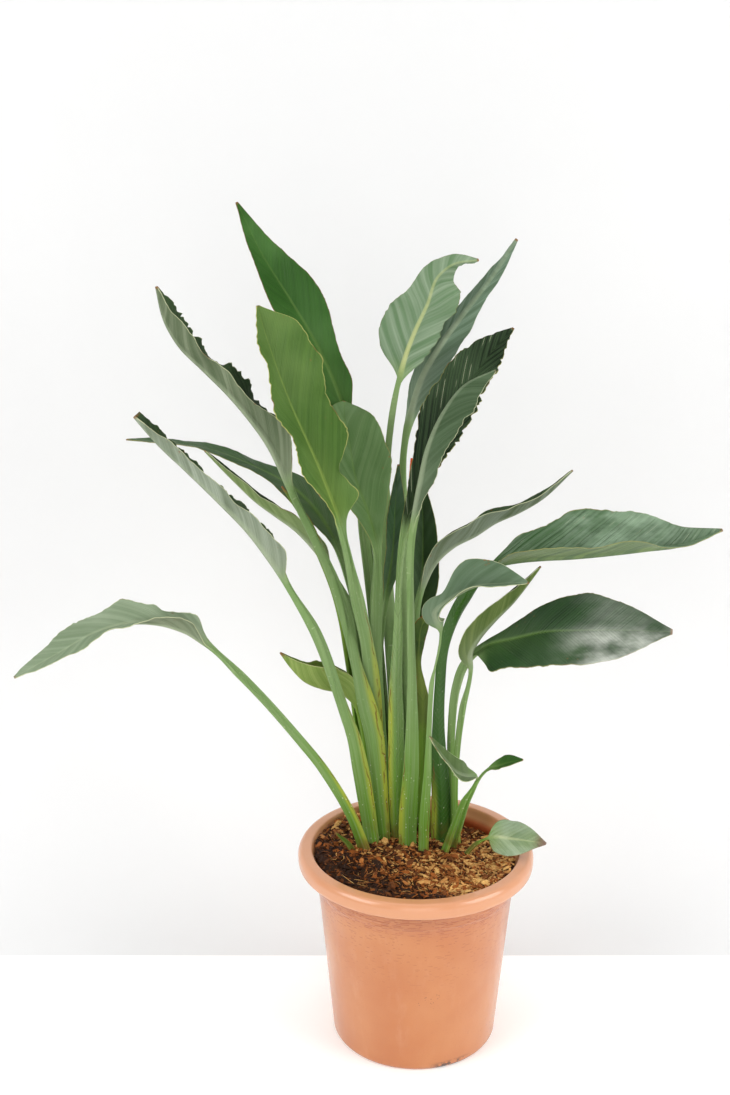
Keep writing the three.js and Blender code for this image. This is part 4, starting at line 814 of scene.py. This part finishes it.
LOOKS = {
    "leaf_tallest": {
        **DEEP, "upper_light": (78, 118, 58), "margin": (128, 92, 56), "lobes": ((1, 0.17, 0.07, 9),),
    },
    "leaf_hooked": {
        **MID, "wing": (0.28, 0.56, 1), "crinkle": (1.0, 0.8), "notch": (0.16, 0.05),
        "lobe": (0.08, 0.05),
        "lobes": ((1, 0.1, 0.045, 14), (1, 0.23, 0.04, -9), (1, 0.35, 0.05, 8),
                  (1, 0.5, 0.04, -5), (-1, 0.2, 0.04, -6), (-1, 0.45, 0.03, -4)),
    },
    "leaf_short_broad": {
        **DEEP, "upper": (96, 124, 76), "upper_dark": (76, 106, 56), "upper_light": (116, 142, 98),
    },
    "leaf_upper_left": {
        **PALE, **CRINKLED, "wing": (0.27, 0.52, 1), "lobes": ((1, 0.1, 0.05, 13), (1, 0.24, 0.05, 5)),
    },
    "leaf_middle_left": {
        **PALE, **CRINKLED, "under": (154, 164, 146), "under_dark": (112, 124, 102),
        "wing": (0.3, 0.46, 1), "lobes": ((1, 0.36, 0.05, 6), (1, 0.16, 0.06, 9), (1, 0.05, 0.035, 13)),
    },
    "leaf_back_left": {**DEEP, "upper": (64, 84, 56), "upper_light": (96, 112, 88)},
    "leaf_narrow_left": {**PALE, "under": (130, 148, 96), "under_dark": (102, 122, 72)},
    "leaf_low_left": {
        **PALE, "upper": (138, 154, 126), "upper_dark": (112, 130, 100), "upper_light": (150, 162, 138),
        "rib": (170, 182, 150), "wing": (0.26, 0.4, 1), "notch": (0.06, 0.12), "crinkle": (0.8, 1.0),
        "lobe": (0.1, 0.1), "lines": 0.3,
        "lobes": ((1, 0.42, 0.05, 7), (1, 0.25, 0.04, -5), (1, 0.12, 0.05, 8)),
    },
    "bract_left": {
        **SHEATH, "under": (150, 168, 94), "under_dark": (112, 138, 62), "margin": (196, 196, 140),
        "swell": 0.0, "dry_from": 0.93,
    },
    "leaf_top": TOP,
    "leaf_upper_right": {**PALE, "under": (114, 136, 114), "under_dark": (80, 102, 78), "swell": -0.03},
    "leaf_ribbed": {**RIBBED, "wing": (0.3, 0.5, -1)},
    "leaf_twisted": {
        **PALE, "under": (80, 100, 72), "under_dark": (60, 80, 52), "crinkle": (1.4, 1.4),
        "notch": (0.1, 0.1), "wing": (0.26, 0.36, -1),
    },
    "leaf_back_right": {**DEEP, "upper": (58, 76, 52), "upper_dark": (44, 62, 38)},
    "leaf_narrow_right": {**PALE, "upper": (66, 88, 58), "under": (126, 138, 120)},
    "leaf_upper_flat_right": {
        **SHEENY, "stalk": (50, 88, 26), "stalk_light": (62, 96, 36), "stalk_low": (46, 88, 22),
        "wing": (0.26, 0.36, -1),
    },
    "leaf_drooping": {
        **PALE, "upper": (94, 116, 90), "upper_dark": (72, 96, 66), "upper_light": (120, 140, 114),
        "under": (124, 142, 100), "relief": 0.05, "lines": 0.2,
    },
    "leaf_lower_right": {
        **DEEP, "upper": (28, 64, 18), "upper_dark": (20, 52, 12), "upper_light": (66, 94, 56),
        "painted_sheen_tone": (212, 215, 205), "painted_sheen": 0.95, "painted_sheen_from": 0.38, "painted_sheen_sides": (0.22, 1),
        "lean": 1.1, "shine": 0.35,
    },
    "leaf_folded_right": {**PALE, "under": (106, 122, 66), "under_dark": (76, 96, 44)},
    "leaf_small_left": {
        **PALE, **SMALL, "upper": (86, 108, 60), "upper_dark": (76, 98, 52),
        "upper_light": (110, 130, 86), "under": (118, 134, 84), "under_dark": (104, 120, 72),
        "dry": (150, 96, 70), "lines": 0.15, "contrast": 0.15, "dry_from": 0.9,
    },
    "leaf_small_right": {**DEEP, **SMALL},
    "sprout_left": SHEATH,
    "leaf_rim": {
        **SHEENY, **SMALL, "upper": (148, 166, 122), "upper_dark": (118, 140, 90),
        "rib": (206, 212, 160), "dry": (112, 58, 40), "stalk": (112, 136, 82),
        "painted_sheen_tone": (188, 202, 180), "painted_sheen": 0.7, "painted_sheen_from": 0.0, "painted_sheen_sides": (1, 1),
        "dry_from": 0.74,
    },
    "bract_right": {
        **SHEATH, "upper": (60, 84, 34), "upper_dark": (44, 68, 24), "under": (78, 112, 42),
        "under_dark": (58, 92, 30), "margin": (170, 52, 28), "dry": (170, 50, 30), "dry_from": 0.9,
    },
    "leaf_middle_back": {**DEEP, "upper": (76, 98, 76), "upper_dark": (54, 78, 52)},
    "bract_red_tip": {**SHEATH, "dry": (206, 84, 40), "dry_from": 0.6},
    "bract_yellow": {**SHEATH, "swell": 0.0},
}

COLOUR_KEYS = (
    "upper", "upper_dark", "upper_light", "under", "under_dark", "rib", "margin", "dry", "stalk",
    "stalk_light", "stalk_low", "painted_sheen_tone",
)


def finished_look(look):
    """The look with its colours made linear."""
    return {key: srgb(*value) if key in COLOUR_KEYS else value for key, value in look.items()}


FIRST_SEED = 40
SEED_STEP = 7
for number, (name, leaf) in enumerate(LEAVES.items()):
    look = finished_look(LOOKS[name])
    piece = leaf_piece(name + "_skin", leaf, look, FIRST_SEED + SEED_STEP * number)
    keep(piece, [name], leaf_material(name + "_green", look, number + 1))


# Points around the pot and around a hole, and the unevenness of band and wall in millimetres
POT_TURNS = 224
HOLE_SIDES = 32
POT_THROAT = POT_HEIGHT - RIM_DEPTH
BAND_UNEVEN = 0.16
SWAY_BROAD = 0.25
SWAY_FINE = 0.15


def wall_radius(z):
    return BASE_RADIUS + (WALL_TOP_RADIUS - BASE_RADIUS) * z / POT_THROAT


def rounded(points, radius, steps=5):
    """A profile with its inner corners rounded."""
    out = [points[0]]
    for before, corner, after in zip(points, points[1:], points[2:]):
        corner = np.array(corner, float)
        back = np.array(before, float) - corner
        ahead = np.array(after, float) - corner
        reach = min(radius, 0.45 * np.linalg.norm(back), 0.45 * np.linalg.norm(ahead))
        start = corner + unit(back) * reach
        finish = corner + unit(ahead) * reach
        for k in range(steps + 1):
            t = k / steps
            out.append((1 - t) ** 2 * start + 2 * t * (1 - t) * corner + t * t * finish)
    out.append(points[-1])
    return np.array([np.asarray(p, float) for p in out])


def close_floor(obj, rings):
    """Underside and floor: two faces joined at each drain hole."""
    data = bmesh.new()
    data.from_mesh(obj.data)
    corners = list(data.verts)
    below = []
    for ring, level in ((0, 0), (rings - 1, FLOOR)):
        holes = []
        for hole in range(DRAIN_COUNT):
            middle = 2 * math.pi * hole / DRAIN_COUNT
            loop = []
            for i in range(HOLE_SIDES):
                around = 2 * math.pi * i / HOLE_SIDES
                x = DRAIN_CIRCLE * math.cos(middle) + DRAIN_RADIUS * math.cos(around)
                y = DRAIN_CIRCLE * math.sin(middle) + DRAIN_RADIUS * math.sin(around)
                loop.append(data.verts.new((x * MM, y * MM, level * MM)))
            holes.append(loop)
        edges = []
        for loop in [corners[ring * POT_TURNS:(ring + 1) * POT_TURNS]] + holes:
            for p, q in zip(loop, loop[1:] + loop[:1]):
                edges.append(data.edges.get((p, q)) or data.edges.new((p, q)))
        for low, high in zip(below, holes):
            for i in range(HOLE_SIDES):
                after = (i + 1) % HOLE_SIDES
                data.faces.new((low[i], high[i], high[after], low[after]))
        below = holes
        bmesh.ops.triangle_fill(data, edges=edges, use_beauty=True, normal=(0, 0, 1))
    bmesh.ops.recalc_face_normals(data, faces=data.faces)
    for face in data.faces:
        face.smooth = True
    data.to_mesh(obj.data)
    data.free()


def pot_piece():
    """Fine pot over the solid's profile: rolled rim, turned band, worn wall, drain holes."""
    under = POT_THROAT
    cavity = under + 2 + SKIRT_CAVITY
    skirt = RIM_RADIUS - SKIRT_THICKNESS
    step = wall_radius(under) + STEP_DEPTH
    throat = wall_radius(under) - WALL
    outer = [
        (BASE_RADIUS - BASE_EDGE, 0),
        (BASE_RADIUS - BASE_EDGE * 0.3, BASE_EDGE * 0.3),
        (wall_radius(BASE_EDGE), BASE_EDGE),
    ]
    outer += [(wall_radius(z), z) for z in np.linspace(BASE_EDGE + 3, STEP_HEIGHT - 1, 64)]
    outer += [(wall_radius(z) + STEP_DEPTH, z) for z in np.arange(STEP_HEIGHT + 0.6, under + 4, 0.75)]
    outer += [(step, cavity - 1), (step + 3, cavity), (skirt - 2, cavity - 1), (skirt, cavity - 4)]
    outer += [(skirt + 0.4, under + 1)]
    roll = rounded([
        (skirt + 0.4, under + 1), (skirt + 1.2, under), (RIM_RADIUS - 1, under + 0.6),
        (RIM_RADIUS, under + 4), (RIM_RADIUS, POT_HEIGHT - 6), (RIM_RADIUS - 4, POT_HEIGHT),
        (RIM_INNER_RADIUS + 2, POT_HEIGHT), (RIM_INNER_RADIUS, POT_HEIGHT - 3),
        (RIM_INNER_RADIUS - 2, POT_HEIGHT - 9), (throat, POT_HEIGHT - 18), (throat, under - 2),
    ], 5)
    inner = [(wall_radius(z) - WALL, z) for z in np.linspace(under - 6, FLOOR + 3, 12)]
    inner += [(wall_radius(FLOOR) - WALL - 2, FLOOR), (DRAIN_CIRCLE + 16, FLOOR)]
    profile = np.array(outer + [tuple(p) for p in roll[1:]] + inner)
    turn = 2 * np.pi * np.arange(POT_TURNS) / POT_TURNS
    radius, z = np.repeat(profile.T[:, :, None], POT_TURNS, axis=2)
    banded = (z > STEP_HEIGHT) & (z < under + 4) & (radius < RIM_RADIUS - 10)
    lines = rng.normal(0, BAND_UNEVEN, (len(profile), POT_TURNS // 8)).repeat(8, axis=1)
    radius = radius + np.where(banded, lines, 0)
    sway = SWAY_BROAD * np.sin(3 * turn + 0.7) + SWAY_FINE * np.sin(7 * turn)
    wall = smoothstep(z, 20, 120) * smoothstep(-z, -STEP_HEIGHT, -STEP_HEIGHT + 40)
    radius = radius - np.abs(sway) * wall
    points = np.stack([radius * np.cos(turn), radius * np.sin(turn), z], axis=2).reshape(-1, 3)
    obj = mesh_object("pot_shell", points, tube_faces(len(profile), POT_TURNS))
    close_floor(obj, len(profile))
    co = np.zeros(len(obj.data.vertices) * 3, np.float32)
    obj.data.vertices.foreach_get("co", co)
    co = co.reshape(-1, 3) / MM
    angle = np.arctan2(co[:, 1], co[:, 0])
    turned = np.stack([np.cos(angle) * 11, np.sin(angle) * 11, co[:, 2] * 0.55], axis=1)
    point_values(obj, "turned", turned)
    reach = np.hypot(co[:, 0], co[:, 1])
    inside = (co[:, 2] > FLOOR - 1) & (reach < RIM_INNER_RADIUS - 0.5)
    inside = inside & (reach < wall_radius(co[:, 2]) - 2)
    point_values(obj, "inside", inside.astype(float))
    return obj


keep(pot_piece(), ["pot"], pot_material())

# Soil, in millimetres: its points, the rise of its banks towards the front and the left, its mound,
# and how far the root ball keeps from the pot's inside
SOIL_RINGS = 70
SOIL_TURNS = 180
FRONT_BANK = 5
LEFT_BANK = 9
MOUND_PLACE = (-5, 50)
MOUND_SPREAD = (6000, 3500)
SOIL_KEEPS = GAP + 0.4
SOIL_EDGE_KEEPS = GAP + 2


def soil_height(x, y):
    """Main form of the soil: higher in front, a mound and a heaped edge."""
    reach = wall_radius(SOIL_LEVEL)
    front = -y / reach
    back_right = np.maximum(0, (y + 0.7 * x) / reach - 0.35)
    from_mound = [(at - place) ** 2 / spread for at, place, spread in zip((x, y), MOUND_PLACE, MOUND_SPREAD)]
    mound = np.exp(-sum(from_mound))
    heap = smoothstep(np.hypot(x, y) / reach, 0.72, 0.96)
    return (SOIL_LEVEL + SOIL_FRONT_RISE * front - SOIL_BACK_DROP * back_right + SOIL_MOUND * mound
            + SOIL_HEAP * heap)


def lumps(x, y):
    """Smooth uneven ground a few millimetres high."""
    out = np.zeros_like(x)
    for size, high, seed in ((26, 1.6, 1), (13, 1.2, 2), (6, 0.8, 3)):
        spin = np.random.default_rng(seed).uniform(0, np.pi, 4)
        for k, angle in enumerate(spin):
            u = (x * math.cos(angle) + y * math.sin(angle)) / size
            v = (-x * math.sin(angle) + y * math.cos(angle)) / size
            out = out + high / 2 * value_noise(u, seed * 10 + k) * value_noise(v, seed * 20 + k)
    return out


def inner_radius(z):
    """Inside of the pot: the wall up to the throat, then the flare to the rim."""
    throat = wall_radius(POT_THROAT) - WALL
    flare = (RIM_INNER_RADIUS - 2 - throat) / (POT_HEIGHT - 9 - POT_THROAT)
    return np.where(z > POT_THROAT + 5, throat + flare * (z - POT_THROAT),
                    wall_radius(np.minimum(z, POT_THROAT)) - WALL)


def soil_top(x, y):
    """Height of the finished soil, lumps and all."""
    bank = FRONT_BANK * smoothstep(np.hypot(x, y), 105, 129) * smoothstep(-y - 0.5 * x, -70, 10)
    left = LEFT_BANK * smoothstep(0.4 * y - x, 50, 125)
    return np.minimum(soil_height(0.93 * x, 0.93 * y) + bank + left, POT_HEIGHT - 6) + lumps(x, y)


def soil_piece():
    """Root ball: uneven top heaped to the rim, straight side down inside the pot, flat bottom."""
    turn = 2 * np.pi * np.arange(SOIL_TURNS) / SOIL_TURNS
    share = np.linspace(0.01, 1, SOIL_RINGS)[:, None]
    edge = np.minimum(soil_top(128 * np.cos(turn), 128 * np.sin(turn)), POT_HEIGHT - 7)
    reach = inner_radius(edge) - SOIL_EDGE_KEEPS
    x = share * reach * np.cos(turn)
    y = share * reach * np.sin(turn)
    z = soil_top(x, y)
    z[-1] = edge
    bottom_z = FLOOR + GAP
    rings = [np.stack([x, y, z], axis=2)]

    def add_ring(r, height):
        rings.append(np.stack([r * np.cos(turn), r * np.sin(turn), height], axis=1)[None])

    neck = np.minimum(POT_THROAT, edge - 4)
    for level in np.linspace(1, 0, 10):
        low = bottom_z + (neck - bottom_z) * level
        inset = np.interp(level, [0, 0.1, 0.9, 1], [3, 0, 0, 1.6])
        add_ring(wall_radius(low) - WALL - SOIL_KEEPS - inset, low)
    add_ring(0.5, np.full(SOIL_TURNS, bottom_z))
    points = np.concatenate(rings).reshape(-1, 3)
    # The rings run downwards, so each face starts with the same point and turns the other way
    faces = np.roll(tube_faces(len(points) // SOIL_TURNS, SOIL_TURNS)[:, ::-1], 1, axis=1)
    obj = mesh_object("root_ball", points, faces)
    point_values(obj, "tone", rng.uniform(0, 0.6, len(points)))
    return obj


SOIL_DARK = srgb(36, 20, 12)
SOIL_BROWN = srgb(92, 52, 26)
SOIL_TAN = srgb(150, 100, 56)
keep(soil_piece(), ["soil"], bark_material("damp_soil", SOIL_DARK, SOIL_BROWN, SOIL_TAN, 0.9))


# Chips and strands, in millimetres: how far from the pot's axis they lie, how high a chip may rise,
# how lumpy it is, and the distance from a stalk that most of them keep, as the share says
CHIP_FIELD = 131
CHIP_RISE = 2.2
CHIP_LUMPS = (0.72, 1.25)
STALK_CLEARANCE = 7
CLEAR_SHARE = 0.8
STRAND_FIELD = 119
STALK_FEET = np.array([leaf["rows"][0][:2] for leaf in LEAVES.values()], float)


def ball(level):
    """Unit ball of triangles, for one chip."""
    data = bmesh.new()
    bmesh.ops.create_icosphere(data, subdivisions=level, radius=1)
    points = np.array([v.co[:] for v in data.verts])
    faces = np.array([[v.index for v in f.verts] for f in data.faces])
    data.free()
    return points, faces


def rotation(axis, angle):
    """Turn about one axis, 0 to 2 for x to z."""
    i, j = (axis + 1) % 3, (axis + 2) % 3
    matrix = np.eye(3)
    matrix[i, i] = matrix[j, j] = math.cos(angle)
    matrix[i, j] = -math.sin(angle)
    matrix[j, i] = math.sin(angle)
    return matrix


def chips(name, count, level, long_mm, wide, thick, sink, light):
    """Bark chips strewn on the soil by a seeded rule, sunk a little, all in one mesh."""
    unit_points, unit_faces = ball(level)
    points = []
    tones = []
    while len(points) < count:
        angle = rng.uniform(0, 2 * np.pi)
        r = CHIP_FIELD * math.sqrt(rng.uniform(0, 1))
        x, y = r * math.cos(angle), r * math.sin(angle)
        if np.min(np.hypot(*(STALK_FEET - (x, y)).T)) < STALK_CLEARANCE and rng.uniform() < CLEAR_SHARE:
            continue
        length = rng.uniform(*long_mm) * (0.7 + 0.6 * rng.uniform() ** 2)
        ground = float(soil_top(np.array([x]), np.array([y]))[0]) + rng.uniform(-sink, CHIP_RISE)
        if r + 0.42 * length > inner_radius(ground):
            continue
        shape = unit_points * (length / 2, length / 2 * rng.uniform(*wide), length / 2 * rng.uniform(*thick))
        shape = shape * rng.uniform(*CHIP_LUMPS, (len(shape), 1))
        shape[:, 2] += rng.uniform(-0.02, 0.02) * shape[:, 0] ** 2
        spin, tilt, roll = rng.uniform(0, 2 * np.pi), rng.normal(0, 0.32), rng.normal(0, 0.45)
        shape = shape @ (rotation(2, spin) @ rotation(1, tilt) @ rotation(0, roll)).T
        points.append(shape + (x, y, min(ground, POT_HEIGHT - 4)))
        # Chip tones are painted darker towards the front left, painted shadow under the rim, and lighter
        # towards the right
        rim_shadow_shift = 0.3 * smoothstep(x - 0.6 * y, -20, 90) - 0.65 * smoothstep(-x - 1.1 * y, 50, 140)
        tones.append(np.full(len(shape), np.clip(rng.beta(*light) + rim_shadow_shift, 0, 1)))
    size = len(unit_points)
    faces = np.concatenate([unit_faces + size * k for k in range(count)])
    obj = mesh_object(name, np.concatenate(points), faces, smooth=False)
    point_values(obj, "tone", np.concatenate(tones))
    return obj


CHIP_DARK = srgb(46, 26, 16)
CHIP_BROWN = srgb(174, 98, 42)
CHIP_TAN = srgb(248, 198, 120)
chip_bark = bark_material("bark_chip", CHIP_DARK, CHIP_BROWN, CHIP_TAN)
# Name, count and fineness; length range; width and thickness as shares of it; depth; spread of tones
for size in (
    ("bark_large", 560, 2, (9, 17), (0.3, 0.65), (0.1, 0.28), 1.5, (0.8, 0.9)),
    ("bark_middle", 1200, 2, (6, 13), (0.22, 0.6), (0.1, 0.3), 1.2, (0.7, 0.9)),
    ("bark_small", 4100, 1, (3, 8), (0.2, 0.7), (0.12, 0.4), 1.0, (0.6, 1.0)),
):
    keep(chips(*size), [], chip_bark)


def strands(name, count):
    """Coir fibres: thin bent strands lying on the chips."""
    sides, knots = 4, 7
    points = []
    for _ in range(count):
        angle = rng.uniform(0, 2 * np.pi)
        r = STRAND_FIELD * math.sqrt(rng.uniform(0, 1))
        heading = rng.uniform(0, 2 * np.pi)
        length = rng.uniform(6, 20)
        t = np.linspace(-0.5, 0.5, knots)
        bow = rng.normal(0, 0.18)
        u = t * length
        v = bow * length * (t ** 2) * 4
        x = r * math.cos(angle) + u * math.cos(heading) - v * math.sin(heading)
        y = r * math.sin(angle) + u * math.sin(heading) + v * math.cos(heading)
        z = soil_top(x, y) + 2.6 + rng.normal(0, 0.12) * u + rng.uniform(0, 1.2)
        thick = rng.uniform(0.18, 0.42) * (1 - 1.6 * t ** 2)
        for k in range(knots):
            for q in range(sides):
                a = 2 * np.pi * q / sides
                points.append((x[k] + thick[k] * math.cos(a) * -math.sin(heading),
                               y[k] + thick[k] * math.cos(a) * math.cos(heading),
                               z[k] + thick[k] * math.sin(a)))
    end = (knots - 1) * sides
    strand = np.concatenate([tube_faces(knots, sides), [(3, 2, 1, 0), (end, end + 1, end + 2, end + 3)]])
    obj = mesh_object(name, points, np.concatenate([strand + s * knots * sides for s in range(count)]))
    point_values(obj, "tone", np.repeat(rng.uniform(0.2, 1, count), knots * sides))
    return obj


keep(strands("coir_strands", 420), [], bark_material("coir", CHIP_DARK, CHIP_BROWN, CHIP_TAN))

# White floor up to the line behind the pot, then a white wall that rises in a sweep, in metres
WALL_LINE = 0.156
WALL_SWEEP = 0.42
STAGE_REACH = 6
GLOW_TOP = 0.8
SKY_STRENGTH = 0.38
FLOOR_WHITE = (0.95, 0.95, 0.94, 1)
WALL_WHITE = (0.69, 0.69, 0.69, 1)


def stage_material(name, colour, glow):
    """Matt white; the glow fades with height, and the back is clear."""
    n = Nodes(name)
    height = n.parts(n.place())[2]
    n.finish(Base_Color=colour, Roughness=0.9, Specular_IOR_Level=0.1, Emission_Color=colour,
             Emission_Strength=n.ramp(height, 0.0, GLOW_TOP, glow, 0))
    back = n.add("ShaderNodeNewGeometry").outputs["Backfacing"]
    clear = n.add("ShaderNodeBsdfTransparent").outputs[0]
    choose = n.add("ShaderNodeMixShader", {0: back, 1: n.shader.outputs[0], 2: clear})
    n.put(n.tree.nodes["Material Output"].inputs["Surface"], choose.outputs[0])
    return n.material


def stage_strip(name, profile, material):
    """White surface, twice STAGE_REACH wide, through (y, z) points."""
    corners = [(x, y, z) for y, z in profile for x in (-STAGE_REACH, STAGE_REACH)]
    faces = [(2 * k, 2 * k + 1, 2 * k + 3, 2 * k + 2) for k in range(len(profile) - 1)]
    data = bpy.data.meshes.new(name)
    data.from_pydata(corners, [], faces)
    data.polygons.foreach_set("use_smooth", np.full(len(faces), True))
    obj = bpy.data.objects.new(name, data)
    scene.collection.objects.link(obj)
    data.materials.append(material)


stage_strip("floor", [(-STAGE_REACH, 0), (WALL_LINE, 0)], stage_material("floor_white", FLOOR_WHITE, 0.15))
bends = np.linspace(0, math.pi / 2, 33)
sweep = [(WALL_LINE + WALL_SWEEP * math.sin(a), WALL_SWEEP * (1 - math.cos(a))) for a in bends]
sweep.append((WALL_LINE + WALL_SWEEP, STAGE_REACH))
stage_strip("backdrop", sweep, stage_material("wall_white", WALL_WHITE, 0.2))


def soft_light(name, place, aim, size, power):
    """Square light at a place, turned towards a point; metres and watts."""
    data = bpy.data.lights.new(name, "AREA")
    data.shape = "SQUARE"
    data.size = size
    data.energy = power
    obj = bpy.data.objects.new(name, data)
    scene.collection.objects.link(obj)
    obj.location = place
    back = np.array(place) - np.array(aim)
    yaw = math.atan2(back[0], -back[1])
    obj.rotation_euler = (math.atan2(math.hypot(back[0], back[1]), back[2]), 0, yaw)


soft_light("key", (-2.0, -1.2, 1.7), (0, 0, 0.5), 1.6, 37)
soft_light("fill", (2.1, -1.0, 1.4), (0, 0, 0.5), 1.6, 38)
soft_light("front", (0.1, -2.7, 0.9), (0, 0, 0.4), 1.6, 16)
soft_light("overhead", (0, -0.2, 3.0), (0, 0, 0.5), 2.2, 18)
world = bpy.data.worlds.new("studio")
world.use_nodes = True
background = world.node_tree.nodes["Background"].inputs
background["Color"].default_value = (1, 1, 1, 1)
background["Strength"].default_value = SKY_STRENGTH
scene.world = world
